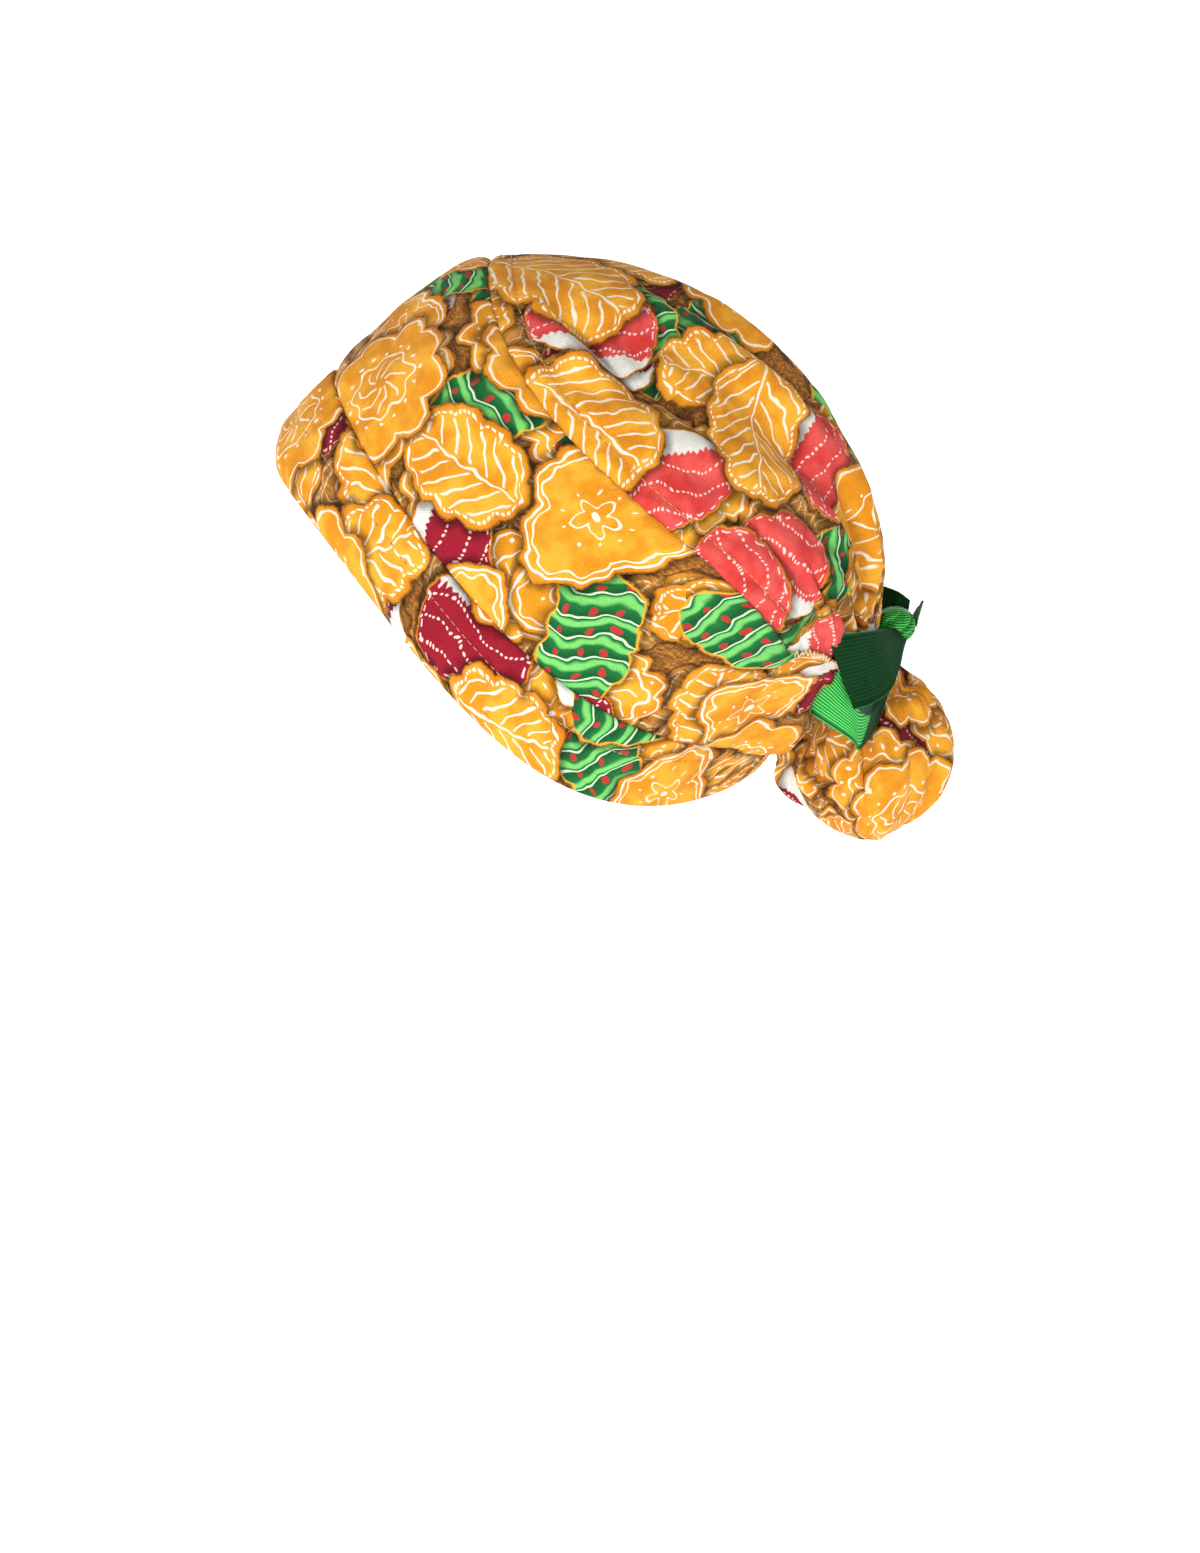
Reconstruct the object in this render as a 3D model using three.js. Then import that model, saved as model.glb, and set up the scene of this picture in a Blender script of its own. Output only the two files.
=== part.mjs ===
import * as THREE from 'three';

// A ponytail scrub cap in millimetres. +Z is up, the forehead looks along -Y and the wearer's left is +X.
// The origin is the centre of the opening for the head.

// The crown and the opening for the head
const capLength = 220;
const capHeight = 177;
const capWidth = 164;
const clothWall = 1.2;
const bandWall = 2.2;
const seamGap = 0.3;
const coverGap = 1;
const sewnGap = 1.2;

// The gathered neck that joins the crown to the ponytail pouch
const neckBack = 118;
const neckDrop = 18.2;
const neckDepth = 29;
const neckWidth = 32;
const neckLean = THREE.MathUtils.degToRad(43);
const gatherCount = 10;
const gatherShare = 0.16;

// The pouch for the ponytail
const pouchDepth = 66;
const pouchDrop = 72;
const pouchWidth = 74;

// The ribbon and its bow
const ribbonWall = 0.8;
const bowReach = 40;
const knotWidth = 17;
const knotDepth = 15;
const knotHeight = 14;
const knotBack = 19;
const knotRise = 15.5;

// Each row is a loop round the cap. Its front and nape points lie in the middle plane. Back and the nape's
// back are shares of the cap's length, up and the nape's up of its height, wide of its width. Drop lowers
// the whole loop between the two points and tilt moves that drop to the back, as shares of the height.
const loopColumns = ['back', 'up', 'napeBack', 'napeUp', 'wide', 'drop', 'tilt'];
const capLoops = {
  hem: [-0.402, 0.328, 0.414, -0.288, 0.927, 0.149, 0.152],
  bandMiddle: [-0.382, 0.398, 0.427, -0.263, 0.957, 0.141, 0.096],
  bandSeam: [-0.300, 0.500, 0.443, -0.229, 0.976, 0.124, 0.056],
  sideMiddle: [-0.175, 0.630, 0.450, -0.218, 1.000, 0.062, -0.051],
  crownSeam: [-0.050, 0.702, 0.456, -0.208, 0.988, -0.011, -0.153],
  crownTop: [0.164, 0.684, 0.462, -0.198, 0.915, -0.028, -0.124],
  crownRise: [0.359, 0.576, 0.469, -0.188, 0.780, -0.023, -0.079],
  crownBack: [0.509, 0.390, 0.475, -0.178, 0.585, -0.011, -0.034],
  crownLow: [0.589, 0.158, 0.481, -0.168, 0.329, 0, 0],
};
const rowNames = [...Object.keys(capLoops), 'neck'];
const rowOf = Object.fromEntries(rowNames.map((name, index) => [name, index]));

// Each row is a loop round the pouch, measured from the middle of the neck. Back and under-back are shares
// of the pouch's depth, up and under-up of its drop, wide of its width. The last row is its closed tip.
const pouchColumns = ['back', 'up', 'underBack', 'underUp', 'wide'];
const pouchLoops = [
  [0.318, 0.017, -0.189, -0.275, 0.622],
  [0.492, -0.101, -0.280, -0.442, 0.838],
  [0.629, -0.261, -0.344, -0.581, 1.000],
  [0.652, -0.469, -0.288, -0.699, 1.000],
  [0.561, -0.671, -0.167, -0.789, 0.892],
  [0.409, -0.824, -0.015, -0.886, 0.622],
  [0.212, -0.997, 0.212, -0.997, 0],
];

// Long soft folds of the crown and side panel. Each runs along the rows between two loops, at an angle
// from the top in degrees that may drift, and is so many degrees wide. Depth is a share of the cap's height.
const foldColumns = ['from', 'to', 'startAngle', 'endAngle', 'width', 'depth'];
const capFolds = [
  [4.3, 8.2, 20, 62, 9, 0.016],
  [4.5, 8.4, 34, 84, 9, -0.017],
  [4.2, 6.4, 52, 66, 8, -0.012],
  [6.0, 8.8, 98, 112, 9, -0.020],
  [4.6, 8.4, -30, -74, 11, -0.015],
  [2.4, 4.0, 62, 74, 12, -0.007],
  [2.2, 3.8, -84, -70, 13, -0.008],
];

// The side panel's upper edge from the middle plane to its tab behind the ear, as a share of its run,
// the row that it follows and the angle in degrees. The tab's end is where the ribbon is sewn on.
const panelEdge = [
  { run: 0, row: rowOf.crownSeam, angle: 0 },
  { run: 0.8, row: rowOf.crownSeam, angle: 128 },
  { run: 0.92, row: 5.5, angle: 127 },
  { run: 1, row: 6.5, angle: 125 },
];
const panelFootAngle = 162;
const panelCornerBend = 6;
const coverStart = 108;
const coverFull = 122;

// The ribbon from the tab round the neck to the knot, by its lower and upper edge. A point at the neck is
// measured from the neck's middle to the side, back and up. A point at the cap gives the row and angle that
// it lies over and how far above the cloth. Those lengths are shares of the bow's reach. A point at the tab
// gives the share of the tab's end, and one at the knot its direction from the knot's middle. Arch is how
// far the ribbon's middle stands out between its edges, as a share of the bow's reach.
const ribbonRoute = [
  { lower: { tab: 0.45 }, middle: { tab: 0.74 }, upper: { tab: 1 } },
  { lower: { neck: [1.06, -0.10, -0.40] }, upper: { cap: [6.7, 131, 0.09] }, arch: 0.08 },
  { lower: { neck: [1.03, 0.05, -0.50] }, upper: { cap: [7.0, 132, 0.20] }, arch: 0.08 },
  { lower: { neck: [0.93, 0.18, -0.42] }, upper: { neck: [0.72, 0.12, -0.01] }, arch: 0.05 },
  { lower: { neck: [0.78, 0.31, -0.22] }, upper: { neck: [0.61, 0.22, 0.06] } },
  { lower: { neck: [0.50, 0.38, 0.04] }, upper: { neck: [0.42, 0.33, 0.20] } },
  { lower: { knot: [0.75, -0.20, -0.63] }, upper: { knot: [0.82, -0.56, 0.10] } },
];

// The bow's ends and its far loop, told the same way. Each starts at the knot.
const nearEndRoute = [
  { lower: { knot: [0.80, 0.35, -0.50] }, upper: { knot: [0.85, 0.10, 0.50] } },
  { lower: { neck: [0.76, 0.38, -0.02] }, upper: { neck: [0.70, 0.22, 0.50] } },
  { lower: { neck: [1.02, 0.10, -0.09] }, upper: { cap: [7.2, 105, 0.10] } },
  { lower: { neck: [1.30, -0.14, -0.06] }, upper: { cap: [5.5, 122, 0.10] } },
];
const farEndRoute = [
  { lower: { knot: [0, 0.98, -0.10] }, upper: { knot: [-0.61, 0.79, 0] } },
  { lower: { neck: [0.04, 0.68, 0.48] }, upper: { neck: [-0.44, 0.77, 0.42] } },
  { lower: { neck: [0, 0.72, 0.62] }, upper: { neck: [-0.60, 0.88, 0.50] } },
];
const farLoopRoute = [
  { lower: { knot: [-0.35, 0.30, 0.88] }, upper: { knot: [-0.82, -0.10, 0.56] } },
  { lower: { neck: [-0.30, 0.62, 0.56] }, upper: { neck: [-0.60, 0.44, 0.55] } },
  { lower: { neck: [-0.38, 0.72, 0.50] }, upper: { neck: [-0.86, 0.47, 0.60] } },
];

const radians = THREE.MathUtils.degToRad;
const { lerp, smoothstep } = THREE.MathUtils;
const neckCentre = new THREE.Vector3(0, neckBack, -neckDrop);

// The neck's two middle-plane points lie half its depth each way along its lean.
const neckBackHalf = neckDepth / 2 * Math.cos(neckLean);
const neckUpHalf = neckDepth / 2 * Math.sin(neckLean);

function neckRow() {
  return {
    back: neckBack + neckBackHalf,
    up: -neckDrop + neckUpHalf,
    napeBack: neckBack - neckBackHalf,
    napeUp: -neckDrop - neckUpHalf,
    wide: neckWidth,
    drop: 0,
    tilt: 0,
  };
}

function named(columns, values) {
  return Object.fromEntries(columns.map((column, index) => [column, values[index]]));
}

const capRows = Object.values(capLoops).map((values) => {
  const share = named(loopColumns, values);
  return {
    back: share.back * capLength,
    up: share.up * capHeight,
    napeBack: share.napeBack * capLength,
    napeUp: share.napeUp * capHeight,
    wide: share.wide * capWidth,
    drop: share.drop * capHeight,
    tilt: share.tilt * capHeight,
  };
});
capRows.push(neckRow());

const pouchRows = pouchLoops.map((values) => {
  const share = named(pouchColumns, values);
  return {
    back: neckBack + share.back * pouchDepth,
    up: -neckDrop + share.up * pouchDrop,
    napeBack: neckBack + share.underBack * pouchDepth,
    napeUp: -neckDrop + share.underUp * pouchDrop,
    wide: share.wide * pouchWidth,
    drop: 0,
    tilt: 0,
  };
});
pouchRows.unshift(neckRow());
const pouchTip = pouchRows.length - 1;
const folds = capFolds.map((values) => named(foldColumns, values));

// A smooth curve through the rows, so that a loop can be taken anywhere between them.
function smoothRow(rows, place) {
  const index = Math.min(Math.max(Math.floor(place), 0), rows.length - 2);
  const along = place - index;
  const here = rows[index];
  const next = rows[index + 1];
  const row = {};
  for (const key of Object.keys(here)) {
    const before = index > 0 ? rows[index - 1][key] : 2 * here[key] - next[key];
    const after = index + 2 < rows.length ? rows[index + 2][key] : 2 * next[key] - here[key];
    const slope = (next[key] - before) / 2;
    const nextSlope = (after - here[key]) / 2;
    const rise = next[key] - here[key];
    row[key] = here[key] + along * (slope + along * (3 * rise - 2 * slope - nextSlope
      + along * (slope + nextSlope - 2 * rise)));
  }
  return row;
}

// A point of a loop: an ellipse through its two middle-plane points, dropped and tilted, drawn in
// towards its middle by the gathers.
function loopPoint(rows, place, angle, gathered) {
  const row = smoothRow(rows, place);
  const middleBack = (row.back + row.napeBack) / 2;
  const middleUp = (row.up + row.napeUp) / 2;
  const halfBack = (row.back - row.napeBack) / 2;
  const halfUp = (row.up - row.napeUp) / 2;
  const reach = Math.hypot(halfBack, halfUp);
  const drop = Math.sin(angle) ** 2 * (row.drop - row.tilt * Math.cos(angle));
  const wave = (1 - Math.cos(gatherCount * angle)) / 2;
  const drawn = 1 - gatherShare * gathered * wave;
  const side = row.wide / 2 * Math.sin(angle) * drawn;
  const back = halfBack * Math.cos(angle) * drawn - (reach > 0 ? drop * halfUp / reach : 0);
  const up = halfUp * Math.cos(angle) * drawn + (reach > 0 ? drop * halfBack / reach : 0);
  return new THREE.Vector3(side, middleBack + back, middleUp + up);
}

const capShape = (place, angle) => loopPoint(
  capRows, place, angle, smoothstep(place, rowOf.crownRise, rowOf.neck),
);
const pouchShape = (place, angle) => loopPoint(
  pouchRows, place, angle, 1 - 0.75 * smoothstep(place, 0, 2.5) - 0.25 * smoothstep(place, 4, pouchTip),
);

// How far the folds lift the cloth at a place.
function foldLift(place, angle) {
  const degrees = THREE.MathUtils.radToDeg(angle);
  let lift = 0;
  for (const fold of folds) {
    const along = (place - fold.from) / (fold.to - fold.from);
    if (along <= 0 || along >= 1) continue;
    const centre = lerp(fold.startAngle, fold.endAngle, along);
    const off = (degrees - centre) / fold.width;
    lift += fold.depth * capHeight * Math.sin(Math.PI * along) * Math.exp(-off * off);
  }
  return lift;
}

// The outward direction of a surface told as a function of two values.
function outward(shape, first, second) {
  const step = 1e-3;
  const along = shape(first + step, second).sub(shape(first - step, second));
  const across = shape(first, second + step).sub(shape(first, second - step));
  return across.cross(along).normalize();
}

function lifted(shape, first, second, lift) {
  return outward(shape, first, second).multiplyScalar(lift).add(shape(first, second));
}

// How many rows a distance in millimetres is, at a place of a surface.
function rowsFor(shape, distance, place, angle) {
  const step = 1e-2;
  return distance * step / shape(place, angle).distanceTo(shape(place + step, angle));
}

const materials = {
  cloth: { color: '#d8973b', roughness: 0.95, metalness: 0 },
  ribbon: { color: '#0f5a24', roughness: 0.45, metalness: 0 },
};

// A named mesh of shared points and triangles, with its faces turned outward.
function mesh(name, points, triangles, material) {
  let volume = 0;
  for (const [a, b, c] of triangles) {
    volume += points[a].dot(points[b].clone().cross(points[c]));
  }
  const turned = volume < 0 ? triangles.map(([a, b, c]) => [a, c, b]) : triangles;
  const geometry = new THREE.BufferGeometry().setFromPoints(points);
  geometry.setIndex(turned.flat());
  geometry.computeVertexNormals();
  const piece = new THREE.Mesh(geometry, new THREE.MeshStandardMaterial(material));
  piece.name = name;
  return piece;
}

// A sheet with two faces. place(across, along) gives the outer point and the inner point below it, with
// across and along from 0 to 1. A ring closes on itself across, and a tipped sheet ends in one point.
function sheet(name, place, columns, rows, material, { ring = false, tipped = false } = {}) {
  const points = [];
  const triangles = [];
  const width = ring ? columns : columns + 1;
  const fullRows = tipped ? rows : rows + 1;
  for (let row = 0; row < fullRows; row += 1) {
    for (let column = 0; column < width; column += 1) {
      points.push(...place(column / columns, row / rows));
    }
  }
  if (tipped) points.push(...place(0, 1));
  const corner = (column, row, inner) => {
    if (row >= fullRows) return points.length - 2 + inner;
    return 2 * (row * width + column % width) + inner;
  };
  const quad = (a, b, c, d) => {
    for (const triangle of [[a, b, c], [a, c, d]]) {
      if (new Set(triangle).size === 3) triangles.push(triangle);
    }
  };
  for (let row = 0; row < rows; row += 1) {
    for (let column = 0; column < columns; column += 1) {
      const next = column + 1;
      quad(corner(column, row, 0), corner(next, row, 0), corner(next, row + 1, 0), corner(column, row + 1, 0));
      quad(corner(column, row + 1, 1), corner(next, row + 1, 1), corner(next, row, 1), corner(column, row, 1));
    }
  }
  for (let column = 0; column < columns; column += 1) {
    const next = column + 1;
    quad(corner(column, 0, 1), corner(next, 0, 1), corner(next, 0, 0), corner(column, 0, 0));
    if (!tipped) quad(corner(column, rows, 0), corner(next, rows, 0), corner(next, rows, 1), corner(column, rows, 1));
  }
  if (!ring) {
    for (let row = 0; row < rows; row += 1) {
      quad(corner(0, row, 0), corner(0, row + 1, 0), corner(0, row + 1, 1), corner(0, row, 1));
      quad(corner(columns, row, 1), corner(columns, row + 1, 1), corner(columns, row + 1, 0), corner(columns, row, 0));
    }
  }
  return mesh(name, points, triangles, material);
}

// Outer and inner point of the cap's cloth at a row and an angle.
function capCloth(place, angle, lift, wall) {
  const outer = lift + foldLift(place, angle);
  return [lifted(capShape, place, angle, outer), lifted(capShape, place, angle, outer - wall)];
}

const fullTurn = 2 * Math.PI;
const fromTop = (angle) => Math.abs(THREE.MathUtils.radToDeg(angle));

function hemBand() {
  const place = (across, along) => {
    const angle = (across - 0.5) * fullTurn;
    const end = rowOf.bandSeam - rowsFor(capShape, seamGap / 2, rowOf.bandSeam, angle);
    return capCloth(along * end, angle, 0, bandWall);
  };
  return sheet('hem_band', place, 60, 4, materials.cloth, { ring: true });
}

// The panel's edge at a share of its run, told from the table.
function edgeAt(run) {
  const last = panelEdge.findIndex((point) => point.run >= run);
  const end = panelEdge[Math.max(last, 1)];
  const start = panelEdge[Math.max(last, 1) - 1];
  const along = (run - start.run) / (end.run - start.run);
  return { row: lerp(start.row, end.row, along), angle: lerp(start.angle, end.angle, along) };
}

// A place of the side panel: across runs from one tab over the top to the other, along from the band
// seam up to the crown seam.
function panelPlace(across, along) {
  const side = Math.sign(across - 0.5);
  const run = Math.abs(2 * across - 1);
  const edge = edgeAt(run);
  const bend = panelCornerBend * smoothstep(run, 0.8, 1) * 4 * along * (1 - along);
  const degrees = lerp(run * panelFootAngle, edge.angle, along) + bend;
  const angle = radians(degrees) * side;
  const start = rowOf.bandSeam + rowsFor(capShape, seamGap / 2, rowOf.bandSeam, angle);
  const end = edge.row - rowsFor(capShape, seamGap / 2, edge.row, angle);
  return { row: lerp(start, end, along), angle };
}

function sidePanel() {
  const place = (across, along) => {
    const { row, angle } = panelPlace(across, along);
    return capCloth(row, angle, 0, clothWall);
  };
  return sheet('side_panel', place, 52, 8, materials.cloth);
}

// Behind the tabs the crown panel runs on down to the band seam, so much deeper that the tabs and the
// ribbon's sewn ends lie over it.
function crownDepth(place, angle) {
  const covered = smoothstep(fromTop(angle), coverStart, coverFull);
  const low = 1 - smoothstep(place, rowOf.crownBack, rowOf.crownLow);
  return -(clothWall + coverGap) * covered * low;
}

function crownPanel() {
  const place = (across, along) => {
    const angle = (across - 0.5) * fullTurn;
    const hidden = smoothstep(fromTop(angle), coverFull, panelFootAngle - 12);
    const seam = lerp(rowOf.crownSeam, rowOf.bandSeam, hidden);
    const start = seam + rowsFor(capShape, seamGap / 2, seam, angle);
    const end = rowOf.neck - rowsFor(capShape, seamGap / 2, rowOf.neck, angle);
    const row = lerp(start, end, along);
    return capCloth(row, angle, crownDepth(row, angle), clothWall);
  };
  return sheet('crown_panel', place, 60, 17, materials.cloth, { ring: true });
}

function ponytailPouch() {
  const place = (across, along) => {
    if (along === 1) {
      const tip = pouchRows[pouchTip];
      const outer = new THREE.Vector3(0, tip.back, tip.up);
      const inward = neckCentre.clone().sub(outer).setLength(clothWall);
      return [outer, outer.clone().add(inward)];
    }
    const angle = (across - 0.5) * fullTurn;
    const start = rowsFor(pouchShape, seamGap / 2, 0, angle);
    const row = lerp(start, pouchTip, along);
    return [pouchShape(row, angle), lifted(pouchShape, row, angle, -clothWall)];
  };
  return sheet('ponytail_pouch', place, 36, 12, materials.cloth, { ring: true, tipped: true });
}

const knotCentre = new THREE.Vector3(0, knotBack, knotRise).add(neckCentre);
const knotHalf = new THREE.Vector3(knotWidth, knotDepth, knotHeight).divideScalar(2);
const knotClear = 1 + (seamGap + ribbonWall / 2) / Math.min(...knotHalf);

// A point of a ribbon's route, on the wearer's left or, turned, on the right.
function routePoint({ neck, cap, tab, knot }, turned) {
  if (neck) return new THREE.Vector3(neck[0] * turned, neck[1], neck[2]).multiplyScalar(bowReach).add(neckCentre);
  if (knot) {
    return new THREE.Vector3(knot[0] * turned, knot[1], knot[2]).multiply(knotHalf)
      .multiplyScalar(knotClear).add(knotCentre);
  }
  if (cap) return lifted(capShape, cap[0], radians(cap[1]) * turned, cap[2] * bowReach);
  const { row, angle } = panelPlace(1, tab);
  const step = 1e-2;
  const past = sewnGap * step / capShape(row, angle).distanceTo(capShape(row, angle + step));
  return lifted(capShape, row, (angle + past) * turned, -ribbonWall / 2);
}

function betweenDirections(first, second) {
  return new THREE.Vector3(...first).add(new THREE.Vector3(...second)).normalize().toArray();
}

// A ribbon's surface from a route. Across runs from its lower edge to its upper.
function routeShape(route, turned) {
  const rows = route.map(({ lower, middle, upper, arch = 0 }) => {
    const low = routePoint(lower, turned);
    const high = routePoint(upper, turned);
    const centre = low.clone().add(high).divideScalar(2);
    let out = centre.clone().sub(neckCentre).setLength(arch * bowReach);
    if (middle) out = routePoint(middle, turned).sub(centre);
    if (lower.knot) out = routePoint({ knot: betweenDirections(lower.knot, upper.knot) }, turned).sub(centre);
    return {
      lowSide: low.x, lowBack: low.y, lowUp: low.z,
      highSide: high.x, highBack: high.y, highUp: high.z,
      archSide: out.x, archBack: out.y, archUp: out.z,
    };
  });
  return (along, across) => {
    const row = smoothRow(rows, along * (rows.length - 1));
    const arched = Math.sin(Math.PI * across);
    return new THREE.Vector3(
      lerp(row.lowSide, row.highSide, across) + row.archSide * arched,
      lerp(row.lowBack, row.highBack, across) + row.archBack * arched,
      lerp(row.lowUp, row.highUp, across) + row.archUp * arched,
    );
  };
}

function ribbon(name, route, steps, turned = 1) {
  const shape = routeShape(route, turned);
  const half = ribbonWall / 2;
  const place = (across, along) => [
    lifted(shape, along, across, half),
    lifted(shape, along, across, -half),
  ];
  return sheet(name, place, 4, steps, materials.ribbon);
}

// The knot: a wrinkled lump on top of the neck's back.
function ribbonKnot() {
  const columns = 20;
  const rows = 10;
  const wrinkles = 6;
  const wrinkleShare = 0.06;
  const points = [];
  const triangles = [];
  const top = knotCentre.clone().add(new THREE.Vector3(0, 0, knotHalf.z));
  const bottom = knotCentre.clone().add(new THREE.Vector3(0, 0, -knotHalf.z));
  points.push(top, bottom);
  for (let row = 1; row < rows; row += 1) {
    const polar = Math.PI * row / rows;
    for (let column = 0; column < columns; column += 1) {
      const turn = fullTurn * column / columns;
      const swell = 1 - wrinkleShare * (1 - Math.cos(wrinkles * turn)) / 2;
      points.push(new THREE.Vector3(
        Math.sin(polar) * Math.cos(turn) * swell,
        Math.sin(polar) * Math.sin(turn) * swell,
        Math.cos(polar),
      ).multiply(knotHalf).add(knotCentre));
    }
  }
  const at = (row, column) => 2 + (row - 1) * columns + column % columns;
  for (let column = 0; column < columns; column += 1) {
    triangles.push([0, at(1, column), at(1, column + 1)]);
    triangles.push([1, at(rows - 1, column + 1), at(rows - 1, column)]);
    for (let row = 1; row < rows - 1; row += 1) {
      triangles.push([at(row, column), at(row + 1, column), at(row + 1, column + 1)]);
      triangles.push([at(row, column), at(row + 1, column + 1), at(row, column + 1)]);
    }
  }
  return mesh('ribbon_knot', points, triangles, materials.ribbon);
}

const group = new THREE.Group();
group.add(
  hemBand(),
  sidePanel(),
  crownPanel(),
  ponytailPouch(),
  ribbon('ribbon_left', ribbonRoute, 14),
  ribbon('ribbon_right', ribbonRoute, 14, -1),
  ribbonKnot(),
  ribbon('bow_end_left', nearEndRoute, 6),
  ribbon('bow_end_right', farEndRoute, 4),
  ribbon('bow_loop_right', farLoopRoute, 4),
);

export default group;
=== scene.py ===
import math

import bpy
import numpy as np
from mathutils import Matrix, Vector


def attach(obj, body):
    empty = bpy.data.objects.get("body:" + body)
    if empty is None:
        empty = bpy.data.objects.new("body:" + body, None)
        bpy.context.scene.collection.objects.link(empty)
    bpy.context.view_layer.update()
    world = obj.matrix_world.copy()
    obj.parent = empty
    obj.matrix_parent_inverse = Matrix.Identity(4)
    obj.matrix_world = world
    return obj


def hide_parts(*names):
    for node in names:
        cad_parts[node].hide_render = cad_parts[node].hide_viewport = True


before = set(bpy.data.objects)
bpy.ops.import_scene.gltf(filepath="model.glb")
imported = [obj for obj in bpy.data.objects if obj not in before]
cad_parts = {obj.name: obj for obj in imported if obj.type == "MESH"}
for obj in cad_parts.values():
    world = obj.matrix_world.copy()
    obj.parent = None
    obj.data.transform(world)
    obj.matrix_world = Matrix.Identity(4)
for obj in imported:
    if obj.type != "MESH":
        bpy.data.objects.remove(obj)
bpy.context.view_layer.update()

# A ponytail scrub cap. Shapes are worked out in millimetres and put into the meshes in metres.
# +Z is up, the forehead looks along -Y and the wearer's left is +X.
MM = 0.001
CAP_LENGTH = 220
CAP_HEIGHT = 177
CAP_WIDTH = 164
CLOTH_WALL = 1.2
BAND_WALL = 2.2
SEAM_GAP = 0.3
SEAM_TUCK = 2.2
COVER_GAP = 1.0
SEWN_GAP = 1.2
NECK_BACK = 118
NECK_DROP = 18.2
NECK_DEPTH = 29
NECK_WIDTH = 32
NECK_LEAN = math.radians(43)
POUCH_DEPTH = 66
POUCH_DROP = 72
POUCH_WIDTH = 74
RIBBON_WALL = 0.5
RIBBON_WIDTH = 25.0
RIBBON_MIDDLE = 0.4
BOW_REACH = 40
KNOT = np.array([17.0, 15.0, 14.0])
NECK_CENTRE = np.array([0.0, NECK_BACK, -NECK_DROP])
KNOT_CENTRE = NECK_CENTRE + np.array([0.0, 19.0, 15.5])

# Loops round the cap, hem first: front point, nape point, width, drop and tilt, as shares of the sizes.
CAP_LOOPS = np.array([
    [-0.402, 0.328, 0.414, -0.288, 0.927, 0.149, 0.152],
    [-0.382, 0.398, 0.427, -0.263, 0.957, 0.141, 0.096],
    [-0.300, 0.500, 0.443, -0.229, 0.976, 0.124, 0.056],
    [-0.175, 0.630, 0.450, -0.218, 1.000, 0.062, -0.051],
    [-0.050, 0.702, 0.456, -0.208, 0.988, -0.011, -0.153],
    [0.164, 0.684, 0.462, -0.198, 0.915, -0.028, -0.124],
    [0.359, 0.576, 0.469, -0.188, 0.780, -0.023, -0.079],
    [0.509, 0.390, 0.475, -0.178, 0.585, -0.011, -0.034],
    [0.589, 0.158, 0.481, -0.168, 0.329, 0.0, 0.0],
])
BAND_SEAM, CROWN_SEAM, CROWN_RISE, CROWN_BACK, CROWN_LOW, NECK = 2, 4, 6, 7, 8, 9

# Loops round the pouch, from the neck's middle: back and up, under-back and under-up, width.
POUCH_LOOPS = np.array([
    [0.318, 0.017, -0.189, -0.275, 0.622],
    [0.492, -0.101, -0.280, -0.442, 0.838],
    [0.629, -0.261, -0.344, -0.581, 1.000],
    [0.652, -0.469, -0.288, -0.699, 1.000],
    [0.561, -0.671, -0.167, -0.789, 0.892],
    [0.409, -0.824, -0.015, -0.886, 0.622],
    [0.212, -0.997, 0.212, -0.997, 0.0],
])

# Long folds: from row, to row, start angle, end angle, width in degrees, depth as a share of the height.
CAP_FOLDS = np.array([
    [4.3, 8.2, 20, 62, 9, 0.016],
    [4.5, 8.4, 34, 84, 9, -0.017],
    [4.2, 6.4, 52, 66, 8, -0.012],
    [6.0, 8.8, 98, 112, 9, -0.020],
    [4.6, 8.4, -30, -74, 11, -0.015],
    [2.4, 4.0, 62, 74, 12, -0.007],
    [2.2, 3.8, -84, -70, 13, -0.008],
])

# Creases and gathers that only the looks show, told the same way but with the depth in millimetres.
SMALL_FOLDS = np.array([
    [4.5, 7.0, 8, 33, 6.5, 2.6],
    [4.6, 7.2, 20, 44, 5.0, -2.6],
    [6.4, 8.6, 26, 80, 5.0, 2.2],
    [6.2, 8.7, 38, 88, 4.0, -2.4],
    [5.2, 8.9, 102, 114, 3.4, -2.6],
    [5.6, 8.9, 90, 107, 3.0, 2.0],
    [5.5, 8.95, 78, 101, 3.2, -2.6],
    [6.1, 8.95, 64, 93, 3.2, 1.8],
    [6.8, 8.95, 52, 78, 3.6, -2.2],
    [7.0, 8.95, 12, 22, 5.0, 1.8],
    [4.02, 5.4, 38, 44, 4.0, -1.7],
    [4.02, 5.2, 56, 60, 4.5, -1.3],
    [4.05, 5.6, 76, 80, 4.0, -1.2],
    [4.05, 5.5, 92, 98, 4.0, -1.0],
    [5.2, 8.6, 70, 98, 4.0, -1.6],
    [5.8, 8.8, 84, 108, 3.5, 1.4],
    [6.2, 8.9, 48, 72, 4.0, -1.3],
    [6.6, 8.9, 22, 40, 4.5, -1.5],
    [6.4, 8.9, 4, 10, 5.0, -1.3],
    [2.1, 3.2, 30, 22, 5.0, -0.9],
    [2.1, 3.6, 96, 88, 4.0, -0.8],
    [2.5, 3.9, 108, 118, 4.5, -1.0],
    [3.0, 3.98, 40, 46, 5.0, 0.8],
    [0.3, 1.9, 52, 60, 6.0, -0.7],
    [0.2, 1.8, 88, 82, 6.0, 0.7],
    [0.3, 1.9, 118, 126, 5.0, -0.7],
    [0.1, 1.2, 20, 26, 6.0, 0.8],
    [4.05, 5.5, -40, -48, 5.0, -1.4],
    [5.4, 8.7, -60, -84, 5.0, -1.6],
    [6.4, 8.9, -18, -30, 4.5, -1.4],
    [2.2, 3.6, -50, -44, 6.0, -0.9],
    [2.4, 3.9, -112, -104, 6.0, -0.9],
    [0.2, 1.8, -70, -78, 7.0, -0.8],
])

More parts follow.
